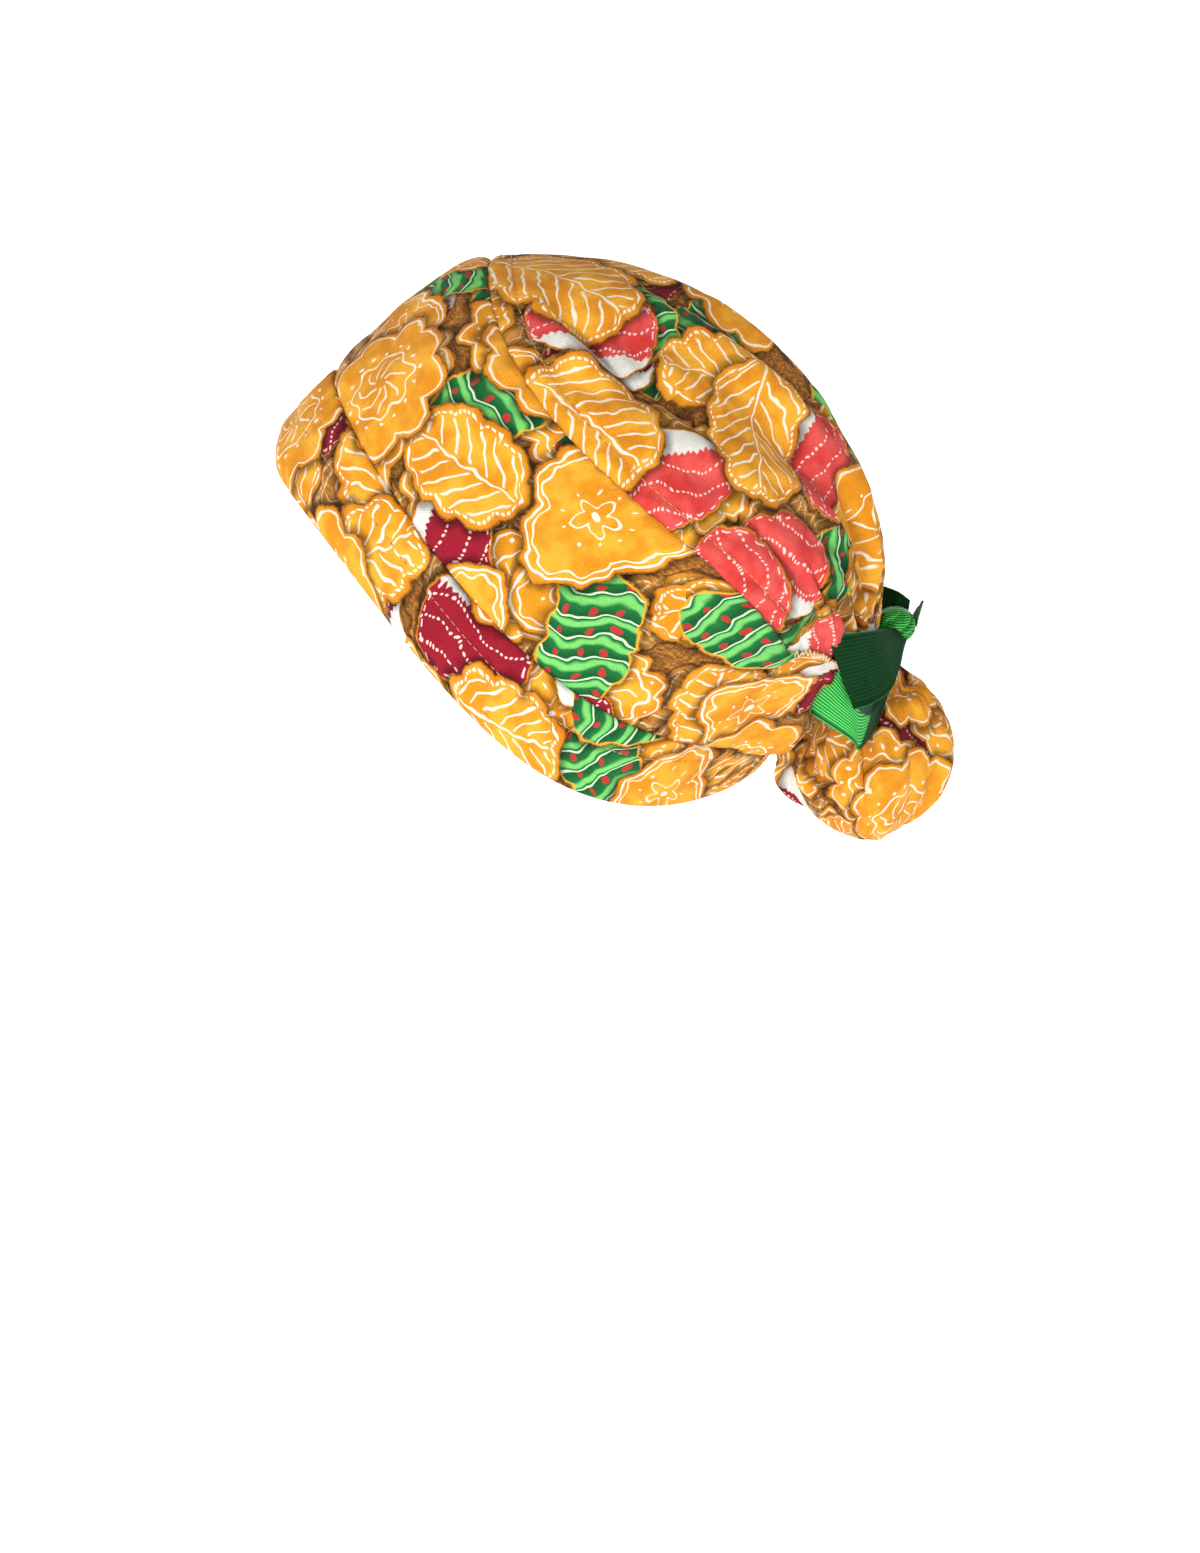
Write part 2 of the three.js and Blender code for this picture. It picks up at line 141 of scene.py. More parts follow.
# Shallow pulls that run round the head: from angle, to angle, start row, end row, width in rows, depth in mm.
PULLS = np.array([
    [30, 60, 4.42, 4.90, 0.11, -4.6],
    [24, 64, 4.26, 4.62, 0.10, 2.6],
    [34, 74, 4.74, 5.30, 0.13, -3.2],
    [90, 114, 5.85, 6.2, 0.13, 2.0],
    [94, 116, 5.55, 5.9, 0.10, -1.8],
    [66, 100, 7.3, 7.7, 0.16, -1.6],
    [38, 122, 2.75, 3.55, 0.16, -0.9],
    [52, 124, 2.45, 2.95, 0.13, 0.7],
    [16, 96, 3.35, 3.75, 0.14, -0.6],
    [70, 126, 3.5, 4.4, 0.16, 0.8],
    [60, 128, 4.5, 5.6, 0.22, -1.2],
    [84, 128, 5.0, 6.3, 0.20, 1.0],
    [-10, 44, 2.5, 2.9, 0.2, -0.7],
    [-60, 6, 3.0, 3.3, 0.2, 0.6],
    [-124, -50, 3.4, 2.8, 0.17, -0.9],
    [-126, -70, 4.5, 3.7, 0.18, 0.8],
    [10, 60, 0.9, 1.2, 0.22, -0.5],
    [70, 130, 1.1, 0.8, 0.2, -0.5],
    [-120, -30, 0.9, 1.2, 0.2, -0.5],
])

# Folds of the pouch, from the neck towards the tip, depth in millimetres.
POUCH_FOLDS = np.array([
    [0.1, 4.6, 62, 92, 12, 2.6],
    [0.2, 5.0, 92, 104, 6, -4.4],
    [0.1, 3.6, 26, 36, 7, -3.4],
    [1.2, 5.8, 66, 74, 6, -2.8],
    [0.1, 3.2, 8, 10, 8, -2.4],
    [0.8, 3.7, 172, 110, 7, -3.6],
    [1.4, 4.4, 162, 150, 5, -3.0],
    [1.6, 4.8, 174, 168, 4, 2.2],
    [2.8, 6.6, 96, 84, 8, 2.4],
    [3.0, 6.2, 106, 118, 5, -2.6],
    [0.1, 4.4, -30, -42, 10, -3.0],
    [0.1, 5.0, -82, -100, 12, -3.6],
    [0.4, 5.4, -134, -128, 11, -3.0],
    [3.4, 6.6, 24, 30, 12, -1.8],
])

# Folds of the pouch with one steep side, where one layer lies over the next.
POUCH_LAPS = np.array([
    [1.1, 5.6, 30, 54, 16, 3.6],
    [2.4, 6.0, 118, 146, 15, -2.2],
    [0.2, 3.4, 120, 132, 12, 2.2],
    [1.0, 6.0, -60, -48, 15, 3.0],
    [1.4, 6.4, -150, -128, 15, 2.6],
])

# How much steeper a lap's far side is than its near side, and how quickly it rises at its ends.
LAP_STEEPNESS = 5.5
LAP_EASE = 0.7

# Pulls round the pouch, told like the cap's.
POUCH_PULLS = np.array([
    [-8, 78, 1.55, 1.2, 0.22, -3.2],
    [-12, 70, 2.0, 1.7, 0.25, 1.8],
    [84, 150, 1.0, 1.3, 0.2, -2.4],
    [70, 130, 4.6, 5.1, 0.3, -1.6],
])

# The side panel's upper edge: share of its run, row and angle in degrees.
PANEL_EDGE = np.array([[0, 4, 0], [0.8, 4, 128], [0.92, 5.5, 127], [1, 6.5, 125]])
PANEL_FOOT_ANGLE = 162
PANEL_CORNER_BEND = 6
COVER_START = 108
COVER_FULL = 122


def smoothstep(value, low, high):
    """Zero below low, one above high, 3t^2 - 2t^3 between."""
    t = np.clip((value - low) / (high - low), 0, 1)
    return t * t * (3 - 2 * t)


def smooth_row(rows, place):
    """A Catmull-Rom curve through the rows of a table, taken at fractional places."""
    place = np.clip(place, 0, len(rows) - 1)
    index = np.minimum(place.astype(int), len(rows) - 2)
    t = (place - index)[..., None]
    spread = np.vstack([2 * rows[0] - rows[1], rows, 2 * rows[-1] - rows[-2]])
    a, b, c, d = (spread[index + step] for step in range(4))
    return b + t * ((c - a) / 2 + t * (a - 2.5 * b + 2 * c - d / 2 + t * (1.5 * (b - c) + (d - a) / 2)))


half_depth = NECK_DEPTH / 2 * np.array([math.cos(NECK_LEAN), math.sin(NECK_LEAN)])
neck_row = np.array([
    NECK_BACK + half_depth[0], -NECK_DROP + half_depth[1],
    NECK_BACK - half_depth[0], -NECK_DROP - half_depth[1], NECK_WIDTH, 0, 0,
])
cap_sizes = np.array([CAP_LENGTH, CAP_HEIGHT, CAP_LENGTH, CAP_HEIGHT, CAP_WIDTH, CAP_HEIGHT, CAP_HEIGHT])
cap_rows = np.vstack([CAP_LOOPS * cap_sizes, neck_row])
pouch_sizes = np.array([POUCH_DEPTH, POUCH_DROP, POUCH_DEPTH, POUCH_DROP, POUCH_WIDTH])
pouch_start = np.array([NECK_BACK, -NECK_DROP, NECK_BACK, -NECK_DROP, 0])
pouch_rows = np.vstack([neck_row, np.hstack([POUCH_LOOPS * pouch_sizes + pouch_start, np.zeros((7, 2))])])
POUCH_TIP = len(pouch_rows) - 1


def gather_wave(angle):
    """Ten main gathers of uneven spacing with finer ones between: sharp valleys, round tops, 0 to 1."""
    drift = 0.55 * np.sin(2 * angle + 0.7) + 0.35 * np.sin(3 * angle + 2.1) + 0.2 * np.sin(5 * angle)
    main = (1 - np.cos(10 * angle + drift)) / 2
    fine = (1 - np.cos(23 * angle + 1.4 * np.sin(angle + 0.4) + 1.0)) / 2
    return 0.72 * main ** 2.2 + 0.28 * fine ** 1.6


def loop_point(rows, place, angle, gathered, share):
    """An ellipse through a loop's two middle-plane points, dropped and tilted, drawn in by the gathers."""
    place, angle = np.broadcast_arrays(np.asarray(place, float), np.asarray(angle, float))
    row = smooth_row(rows, place)
    back, up, nape_back, nape_up, wide, row_drop, row_tilt = np.moveaxis(row, -1, 0)
    half_back = (back - nape_back) / 2
    half_up = (up - nape_up) / 2
    reach = np.maximum(np.hypot(half_back, half_up), 1e-6)
    drop = np.sin(angle) ** 2 * (row_drop - row_tilt * np.cos(angle))
    drawn = 1 - share * gathered * gather_wave(angle)
    side = wide / 2 * np.sin(angle) * drawn
    depth = (back + nape_back) / 2 + half_back * np.cos(angle) * drawn - drop * half_up / reach
    height = (up + nape_up) / 2 + half_up * np.cos(angle) * drawn + drop * half_back / reach
    return np.stack([side, depth, height], axis=-1)


def cap_shape(place, angle):
    """The cap's plain form; the gathers grow from the crown's rise to the neck."""
    return loop_point(cap_rows, place, angle, smoothstep(place, CROWN_RISE - 0.6, NECK), 0.19)


def pouch_shape(place, angle):
    """The pouch's plain form; the gathers fade from the neck to the tip."""
    fade = 1 - 0.72 * smoothstep(place, 0, 2.8) - 0.28 * smoothstep(place, 4, POUCH_TIP)
    return loop_point(pouch_rows, place, angle, fade, 0.19)


def strips(table, run, side, profile, ease=1.0, wrap=False):
    """The sum of a table's strips: depth times a sine along each one times a profile across it. A row holds
    where the strip starts and ends along run, where its middle starts and ends on side, width and depth."""
    lift = np.zeros(np.broadcast(run, side).shape)
    for start, end, first, last, width, depth in table:
        along = np.clip((run - start) / (end - start), 0, 1)
        off = side - (first + (last - first) * along)
        off = ((off + 180) % 360 - 180 if wrap else off) / width
        lift = lift + depth * np.sin(np.pi * along) ** ease * profile(off)
    return lift


def bell(off):
    """One in the middle, falling away evenly on both sides."""
    return np.exp(-off * off)


def fold_lift(table, place, angle, sharp=1.0):
    """Long folds from row to row: a bell across each one."""
    return strips(table, place, np.degrees(angle), lambda off: np.exp(-np.abs(off) ** (2 * sharp)), wrap=True)


def pull_lift(table, place, angle):
    """Shallow pulls round the head: a bell across the rows."""
    return strips(table, np.degrees(angle), place, bell)


def lap_lift(table, place, angle):
    """Folds that rise slowly on one side and drop steeply on the other, like one layer over the next."""
    return strips(table, place, np.degrees(angle),
                  lambda off: np.where(off > 0, bell(off * LAP_STEEPNESS), bell(off)), LAP_EASE, wrap=True)


def crumple(first, second, size, depth, seed):
    """Soft uneven waves: sines of turned directions, each bent by the one before it."""
    rng = np.random.default_rng(seed)
    total = np.zeros(np.broadcast(first, second).shape)
    bend = 0
    for step in range(6):
        turn = rng.uniform(0, np.pi)
        reach = size * rng.uniform(0.6, 1.5)
        wave = np.sin((first * np.cos(turn) + second * np.sin(turn)) * 2 * np.pi / reach
                      + rng.uniform(0, 6) + 1.2 * bend)
        bend = wave
        total = total + wave * rng.uniform(0.5, 1)
    return depth * total / 3


def unit(vectors):
    """Vectors of length one; a vector of no length stays as it is."""
    return vectors / np.maximum(np.linalg.norm(vectors, axis=-1, keepdims=True), 1e-12)


def outward(shape, first, second):
    """The unit normal of a shape of two values, from small steps both ways."""
    step = 1e-3
    along = shape(first + step, second) - shape(first - step, second)
    across = shape(first, second + step) - shape(first, second - step)
    return unit(np.cross(across, along))


def lifted(shape, first, second, lift):
    """A point of a shape moved along its normal."""
    return shape(first, second) + outward(shape, first, second) * np.asarray(lift)[..., None]


def rows_for(shape, distance, place, angle):
    """How many rows a distance in millimetres is, at a place of a shape."""
    step = 1e-2
    moved = np.linalg.norm(shape(place + step, angle) - shape(place, angle), axis=-1)
    return distance * step / np.maximum(moved, 1e-9)


def arc(points, axis):
    """The length run along a grid's axis, starting at zero."""
    steps = np.linalg.norm(np.diff(points, axis=axis), axis=-1)
    start = np.zeros_like(np.take(steps, [0], axis=axis))
    return np.concatenate([start, np.cumsum(steps, axis=axis)], axis=axis)


def edge_spaced(count, rim, ends=(True, True)):
    """Values from 0 to 1, crowded at the ends over the share rim, so that edges can be rounded."""
    near = rim * (1 - np.cos(np.linspace(0, np.pi / 2, 6)))
    middle = np.linspace(rim if ends[0] else 0, 1 - rim if ends[1] else 1, count)
    parts = [near[:-1]] if ends[0] else []
    parts.append(middle)
    if ends[1]:
        parts.append(1 - near[-2::-1])
    return np.concatenate(parts)


def grid_normals(points, ring):
    """Normals of a grid of points from its neighbours; a ring closes on itself across."""
    if ring:
        across = np.roll(points, -1, axis=1) - np.roll(points, 1, axis=1)
    else:
        across = np.gradient(points, axis=1)
    along = np.gradient(points, axis=0)
    return unit(np.cross(across, along))


def round_edge(distance, half):
    """Half the cloth's thickness: full inside, falling to zero like a circle over the last half."""
    t = np.clip(distance / half, 0, 1)
    return half * np.sqrt(np.maximum(1 - (1 - t) ** 2, 0))


def make_mesh(name, vertices, faces, uv=None):
    """Puts vertices in millimetres, quads or triangles, and UVs in millimetres into a new object."""
    mesh = bpy.data.meshes.new(name)
    mesh.from_pydata((np.asarray(vertices) * MM).tolist(), [], faces)
    if uv is not None:
        layer = mesh.uv_layers.new(name="cloth")
        layer.data.foreach_set("uv", (np.asarray(uv) * MM).astype(np.float32).ravel())
    mesh.polygons.foreach_set("use_smooth", np.ones(len(mesh.polygons), bool))
    mesh.validate()
    mesh.update()
    piece = bpy.data.objects.new(name, mesh)
    bpy.context.scene.collection.objects.link(piece)
    return piece


TURNED = [0, 3, 2, 1]


def quads(index):
    """The four corners of each field of a grid of numbers, one row of corners a field."""
    return np.stack([index[:-1, :-1], index[:-1, 1:], index[1:, 1:], index[1:, :-1]], axis=-1).reshape(-1, 4)


def cloth_piece(name, points, wall, pattern, ring=False, tipped=False):
    """A closed sheet round a grid of middle points: two skins half a wall out and in, meeting at rounded
    edges. The pattern gives each grid point its place on the flat cloth."""
    rows, columns = points.shape[:2]
    normal = grid_normals(points, ring)
    from_start = arc(points, 0)
    from_end = from_start[-1:] - from_start
    near = from_start if tipped else np.minimum(from_start, from_end)
    if not ring:
        sideways = arc(points, 1)
        near = np.minimum(near, np.minimum(sideways, sideways[:, -1:] - sideways))
    half = round_edge(near, wall / 2)
    if tipped:
        normal[-1] = unit(normal[-2].mean(axis=0))
    outer = points + normal * half[..., None]
    inner = points - normal * half[..., None]
    count = rows * columns
    outer_index = np.arange(count).reshape(rows, columns)
    inner_index = outer_index + count
    inner_index[0] = outer_index[0]
    if tipped:
        outer_index[-1] = outer_index[-1, 0]
        inner_index[-1] = inner_index[-1, 0]
    else:
        inner_index[-1] = outer_index[-1]
    if not ring:
        inner_index[:, 0] = outer_index[:, 0]
        inner_index[:, -1] = outer_index[:, -1]
    if ring:
        outer_index = np.hstack([outer_index, outer_index[:, :1]])
        inner_index = np.hstack([inner_index, inner_index[:, :1]])

    spots = quads(np.arange(pattern.shape[0] * pattern.shape[1]).reshape(pattern.shape[:2]))
    faces = np.concatenate([quads(outer_index), quads(inner_index)[:, ::-1]])
    places = np.concatenate([spots, spots[:, ::-1]])
    flat_pattern = pattern.reshape(-1, 2)
    whole = faces[:, 2] != faces[:, 3]
    whole &= faces[:, 0] != faces[:, 1]
    inside = np.arange(len(faces)) >= len(faces) // 2
    face_list = faces[whole].tolist()
    loop_places = [places[whole].ravel()]
    skins = [inside[whole]]
    if not whole.all():
        for corners in ([0, 1, 2], [0, 2, 3]):
            points_of = faces[~whole][:, corners]
            good = (points_of[:, 0] != points_of[:, 1]) & (points_of[:, 1] != points_of[:, 2])
            good &= points_of[:, 0] != points_of[:, 2]
            face_list += points_of[good].tolist()
            loop_places.append(places[~whole][:, corners][good].ravel())
            skins.append(inside[~whole][good])
    vertices = np.concatenate([outer.reshape(-1, 3), inner.reshape(-1, 3)])
    used = np.unique(faces)
    renumber = np.zeros(len(vertices), int)
    renumber[used] = np.arange(len(used))
    face_list = [[int(renumber[corner]) for corner in face] for face in face_list]
    piece = make_mesh(name, vertices[used], face_list, flat_pattern[np.concatenate(loop_places)])
    skin = np.concatenate(skins).astype(np.int32)
    if len(skin) == len(piece.data.polygons):
        piece["skins"] = 1
        piece.data.polygons.foreach_set("material_index", skin)
    return piece


def belongs(piece, slot, *nodes):
    """Lets a piece ride on the body and stand for the CAD nodes it shows, which it hides. The slot is not used.
    """
    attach(piece, "root")
    for node in nodes:
        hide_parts(node)
    return piece


# --- Cloth of the cap ---------------------------------------------------------------------------

TURN = 2 * np.pi
STITCH_UP = 19.5
STITCH_BACK = 7.6
sewn_on = {}


def cap_cloth(place, angle, lift=0.0, scale=1.0):
    """The cap's cloth: the plain form, its long folds, its small dents and a soft crumple."""
    total = lift + 1.55 * fold_lift(CAP_FOLDS, place, angle) * CAP_HEIGHT
    total = total + 1.35 * scale * (fold_lift(SMALL_FOLDS, place, angle, 0.8) + pull_lift(PULLS, place, angle))
    side = np.degrees(angle)
    quiet = smoothstep(place, 0.0, 0.8)
    total = total + scale * quiet * crumple(side * 1.3, place * 24, 34, 0.8, 3)
    total = total + scale * quiet * crumple(side * 1.3, place * 24, 15, 0.22, 8)
    return lifted(cap_shape, place, angle, total)


def pucker(distance, run, depth, seed):
    """Cloth beside a seam: a valley at the seam and small uneven gathers that fade away from it."""
    valley = -depth * (0.6 * np.exp(-(distance / 1.5) ** 2) + 0.4 * np.exp(-distance / 5))
    rng = np.random.default_rng(seed)
    ripple = np.zeros_like(run)
    for _ in range(5):
        ripple = ripple + np.sin(run * TURN / rng.uniform(6, 19) + rng.uniform(0, TURN))
    return valley + 0.28 * ripple * np.exp(-distance / 8) * (1 - np.exp(-distance / 1.5))


def walk(start, distance, angle):
    """The row that lies a distance in millimetres past a start row, found in short even steps."""
    place = np.full_like(angle, float(start))
    for _ in range(16):
        place = place + rows_for(cap_shape, distance / 16, place, angle)
    return place


def hem_band():
    """Rows from the hem to the band seam; the folded edge is the rounded end of the thick wall."""
    columns = 420
    angle = np.linspace(-np.pi, np.pi, columns + 1)
    along = edge_spaced(34, 0.016, (True, True))[:, None]
    end = BAND_SEAM - rows_for(cap_shape, SEAM_GAP / 2, np.full_like(angle, BAND_SEAM), angle)
    place = along * end
    angle = np.broadcast_to(angle, place.shape)
    plain = cap_shape(place, angle)
    up = arc(plain, 0)
    run = arc(plain, 1) - arc(plain, 1)[:, columns // 2][:, None]
    from_seam = up[-1:] - up
    lift = pucker(from_seam, run, 0.5, 11) - BAND_WALL / 2 + 0.5 * smoothstep(up, 4, 16)
    rng = np.random.default_rng(12)
    ripple = sum(np.sin(run * TURN / rng.uniform(6, 15) + rng.uniform(0, TURN)) for _ in range(4))
    lift = lift - (0.45 + 0.12 * ripple) * np.exp(-((up - STITCH_UP) / 1.8) ** 2)
    points = cap_cloth(place, angle, lift)
    pattern = np.stack([run, up], axis=-1)
    piece = cloth_piece("hem_band_cloth", points[:, :-1], BAND_WALL, pattern, ring=True)
    return belongs(piece, "printed_cotton", "hem_band")


def edge_at(run):
    """The side panel's edge at a share of its run, from the table."""
    return [np.interp(run, PANEL_EDGE[:, 0], PANEL_EDGE[:, column]) for column in (1, 2)]


def panel_place(across, along):
    """Row and angle of the side panel: straight lines from the band seam up to its edge, bent at the tab."""
    side = np.sign(across - 0.5)
    run = np.abs(2 * across - 1)
    edge_row, edge_angle = edge_at(run)
    bend = PANEL_CORNER_BEND * smoothstep(run, 0.8, 1) * 4 * along * (1 - along)
    degrees = run * PANEL_FOOT_ANGLE * (1 - along) + edge_angle * along + bend
    angle = np.radians(degrees) * side
    start = BAND_SEAM - rows_for(cap_shape, SEAM_TUCK, np.full_like(angle, BAND_SEAM), angle)
    end = edge_row - rows_for(cap_shape, SEAM_GAP / 2, edge_row + 0 * angle, angle)
    return start * (1 - along) + end * along, angle


# How far the flap's loose end stands away from the cap: share of its height, then side, back and up.
FLAP_FLARE = np.array([
    [0.0, 5.3, 3.4, -1.8], [0.1, 5.0, 3.5, -3.2], [0.2, 4.5, 3.8, -4.2], [0.3, 4.2, 4.7, -3.9],
    [0.38, 3.6, 4.8, -3.2], [0.44, 2.0, 2.4, -1.4], [0.5, 0.7, 0.8, -0.4], [0.6, 0, 0, 0], [1, 0, 0, 0],
])


def side_panel():
    """The panel between the band seam and the crown seam; its ends are the loose tabs."""
    across = edge_spaced(400, 0.0015)[None, :]
    along = edge_spaced(64, 0.008)[:, None]
    across, along = np.broadcast_arrays(across, along)
    row, angle = panel_place(across, along)
    plain = cap_shape(row, angle)
    up = arc(plain, 0)
    middle = plain.shape[1] // 2
    run = arc(plain, 1) - arc(plain, 1)[:, middle][:, None]
    from_crown = up[-1:] - up
    free = smoothstep(np.abs(2 * across - 1), 0.84, 0.95)
    lift = pucker(np.abs(up - SEAM_TUCK), run, 1.4, 21) * (1 - free) - CLOTH_WALL / 2
    lift = lift + pucker(from_crown, run, 1.1, 22) * (1 - free)
    lift = lift - 0.8 * (1 - smoothstep(up, 0.2, SEAM_TUCK + 0.6))
    points = cap_cloth(row, angle, lift)
    flare = np.stack([np.interp(along, FLAP_FLARE[:, 0], FLAP_FLARE[:, axis]) for axis in (1, 2, 3)], axis=-1)
    flare[..., 0] *= np.sign(across - 0.5)
    points = points + flare * smoothstep(np.abs(2 * across - 1), 0.87, 1.0)[..., None]
    sewn_on["side_panel"] = (points, across[0], along[:, 0])
    pattern = np.stack([run, up + 52], axis=-1)
    piece = cloth_piece("side_panel_cloth", points, CLOTH_WALL, pattern)
    return belongs(piece, "printed_cotton", "side_panel")


def crown_depth(place, angle):
    """How far the crown lies below the tabs and the sewn ribbon ends."""
    covered = smoothstep(np.abs(np.degrees(angle)), COVER_START, COVER_FULL)
    low = 1 - smoothstep(place, CROWN_BACK, CROWN_LOW)
    return -(CLOTH_WALL + COVER_GAP) * covered * low


CROWN_POLE = Vector((0.45, 0.42, 0.79)).normalized()
CROWN_MIDDLE = np.array([0.0, 30.0, 30.0])
CROWN_RADIUS = 92


def dome_pattern(points):
    """Places on the flat cloth: distance from a pole over a ball round the crown, kept as a true length."""
    pole = np.array(CROWN_POLE)
    east = unit(np.cross([0, 0, 1.0], pole))
    north = np.cross(pole, east)
    ray = unit(points - CROWN_MIDDLE)
    away = np.arccos(np.clip(ray @ pole, -1, 1))
    return unit(np.stack([ray @ east, ray @ north], axis=-1)) * (away * CROWN_RADIUS)[..., None]


def crown_panel():
    """The gathered crown: rows from the crown seam to the neck, sunk under the tabs."""
    columns = 400
    angle = np.linspace(-np.pi, np.pi, columns + 1)
    along = edge_spaced(104, 0.004)[:, None]
    hidden = smoothstep(np.abs(np.degrees(angle)), COVER_FULL, PANEL_FOOT_ANGLE - 12)
    seam = CROWN_SEAM + (BAND_SEAM - CROWN_SEAM) * hidden
    start = seam - rows_for(cap_shape, SEAM_TUCK, seam, angle)
    end = NECK - rows_for(cap_shape, -SEAM_GAP / 2, np.full_like(angle, NECK - 0.011), angle)
    end = np.full_like(angle, 2 * NECK) - end
    place = start * (1 - along) + end * along
    angle = np.broadcast_to(angle, place.shape)
    plain = cap_shape(place, angle)
    up = arc(plain, 0)
    run = arc(plain, 1)
    lift = crown_depth(place, angle) - CLOTH_WALL / 2 + pucker(np.abs(up - SEAM_TUCK), run, 1.5, 31)
    lift = lift - 0.5 * np.exp(-((up - SEAM_TUCK - STITCH_BACK) / 1.6) ** 2)
    lift = lift - 1.3 * (1 - smoothstep(up, 0.4, SEAM_TUCK + 0.5))
    points = cap_cloth(place, angle, lift)
    pattern = dome_pattern(plain)
    piece = cloth_piece("crown_cloth", points[:, :-1], CLOTH_WALL, pattern, ring=True)
    return belongs(piece, "printed_cotton", "crown_panel")


def pouch():
    """The pouch: rows from the neck to a closed tip, with deep folds that the bunched cloth makes."""
    columns = 320
    angle = np.linspace(-np.pi, np.pi, columns + 1)
    along = edge_spaced(100, 0.006, (True, False))[:, None]
    start = rows_for(pouch_shape, SEAM_GAP / 2, np.zeros_like(angle), angle)
    place = start * (1 - along) + POUCH_TIP * along
    angle = np.broadcast_to(angle, place.shape)
    plain = pouch_shape(place, angle)
    quiet = smoothstep(place, 0, 0.8) * (1 - smoothstep(place, POUCH_TIP - 1.2, POUCH_TIP))
    folds = fold_lift(POUCH_FOLDS, place, angle, 0.8) + pull_lift(POUCH_PULLS, place, angle)
    lift = (folds + lap_lift(POUCH_LAPS, place, angle)) * quiet - CLOTH_WALL / 2
    lift = lift + quiet * crumple(np.degrees(angle) * 0.65, place * 14, 20, 0.5, 5)
    points = lifted(pouch_shape, np.minimum(place, POUCH_TIP - 1e-3), angle, lift)
    points[-1] = points[-2].mean(axis=0)
    sewn_on["pouch"] = (points, np.degrees(angle[0]), place[:, columns // 2])
    up = arc(plain, 0)
    pattern = np.stack([angle * 36, up + 9], axis=-1)
    piece = cloth_piece("ponytail_pouch_cloth", points[:, :-1], CLOTH_WALL, pattern, ring=True, tipped=True)
    return belongs(piece, "printed_cotton", "ponytail_pouch")


# --- Ribbon and bow -----------------------------------------------------------------------------

# Routes by lower and upper edge: at the neck, over the cap, on the tab's end or on the knot.
RIBBON_ROUTE = [
    {"lower": ("tab", 0.45), "upper": ("tab", 1.0), "middle": ("tab", 0.74)},
    {"lower": ("neck", 1.06, -0.10, -0.40), "upper": ("cap", 6.7, 131, 0.09), "arch": 0.08},
    {"lower": ("neck", 1.025, -0.008, -0.506), "upper": ("cap", 7.0, 132, 0.20), "arch": 0.08},
    {"lower": ("neck", 0.925, 0.135, -0.361), "upper": ("neck", 0.72, 0.12, -0.01), "arch": 0.05},
    {"lower": ("neck", 0.775, 0.257, -0.137), "upper": ("neck", 0.61, 0.22, 0.06)},
    {"lower": ("neck", 0.50, 0.38, 0.04), "upper": ("neck", 0.42, 0.33, 0.20)},
    {"lower": ("knot", 0.75, -0.20, -0.63), "upper": ("knot", 0.82, -0.56, 0.10)},
]
NEAR_END_ROUTE = [
    {"lower": ("knot", 0.80, 0.35, -0.50), "upper": ("knot", 0.85, -0.25, 0.10)},
    {"lower": ("neck", 0.750, 0.314, 0.004), "upper": ("neck", 0.750, 0.130, 0.512)},
    {"lower": ("neck", 1.050, 0.084, -0.065), "upper": ("neck", 1.100, -0.156, 0.567)},
    {"lower": ("neck", 1.275, -0.136, -0.061), "upper": ("neck", 1.425, -0.429, 0.608)},
]
FAR_END_ROUTE = [
    {"lower": ("knot", 0.0, 0.98, -0.10), "upper": ("knot", -0.61, 0.79, 0.0)},
    {"lower": ("neck", 0.04, 0.68, 0.48), "upper": ("neck", -0.44, 0.77, 0.42)},
    {"lower": ("neck", 0.0, 0.72, 0.62), "upper": ("neck", -0.60, 0.88, 0.50)},
]
FAR_LOOP_ROUTE = [
    {"lower": ("neck", -0.150, 0.622, 0.423), "upper": ("neck", -0.200, 0.648, 0.585)},
    {"lower": ("neck", -0.325, 0.541, 0.286), "upper": ("neck", -0.400, 0.568, 0.633)},
    {"lower": ("neck", -0.550, 0.415, 0.174), "upper": ("neck", -0.650, 0.438, 0.653)},
]
knot_clear = 1 + (SEAM_GAP + RIBBON_MIDDLE) / (KNOT.min() / 2)


def route_point(spot, turned):
    """A point of a route, on the wearer's left or, turned, on the right."""
    kind, values = spot[0], spot[1:]
    mirror = np.array([turned, 1, 1])
    if kind == "neck":
        return np.array(values) * mirror * BOW_REACH + NECK_CENTRE
    if kind == "knot":
        return np.array(values) * mirror * KNOT / 2 * knot_clear + KNOT_CENTRE
    if kind == "cap":
        row, degrees, height = map(float, values)
        angle = np.array(math.radians(degrees) * turned)
        return lifted(cap_shape, np.array(row), angle, height * BOW_REACH)
    row, angle = panel_place(np.array(1.0), np.array(float(values[0])))
    step = 1e-2
    past = SEWN_GAP * step / np.linalg.norm(cap_shape(row, angle) - cap_shape(row, angle + step))
    return lifted(cap_shape, row, (angle + past) * turned, -RIBBON_MIDDLE)


def route_rows(route, turned):
    """Lower point, upper point and the middle's stand-out for each place of a route."""
    rows = []
    for place in route:
        low, high = route_point(place["lower"], turned), route_point(place["upper"], turned)
        centre = (low + high) / 2
        away = centre - NECK_CENTRE
        out = away / np.linalg.norm(away) * place.get("arch", 0) * BOW_REACH
        if "middle" in place:
            out = route_point(place["middle"], turned) - centre
        if place["lower"][0] == "knot":
            mean = np.array(place["lower"][1:]) + np.array(place["upper"][1:])
            out = route_point(("knot", *(mean / np.linalg.norm(mean))), turned) - centre
        rows.append(np.concatenate([low, high, out]))
    return np.array(rows)


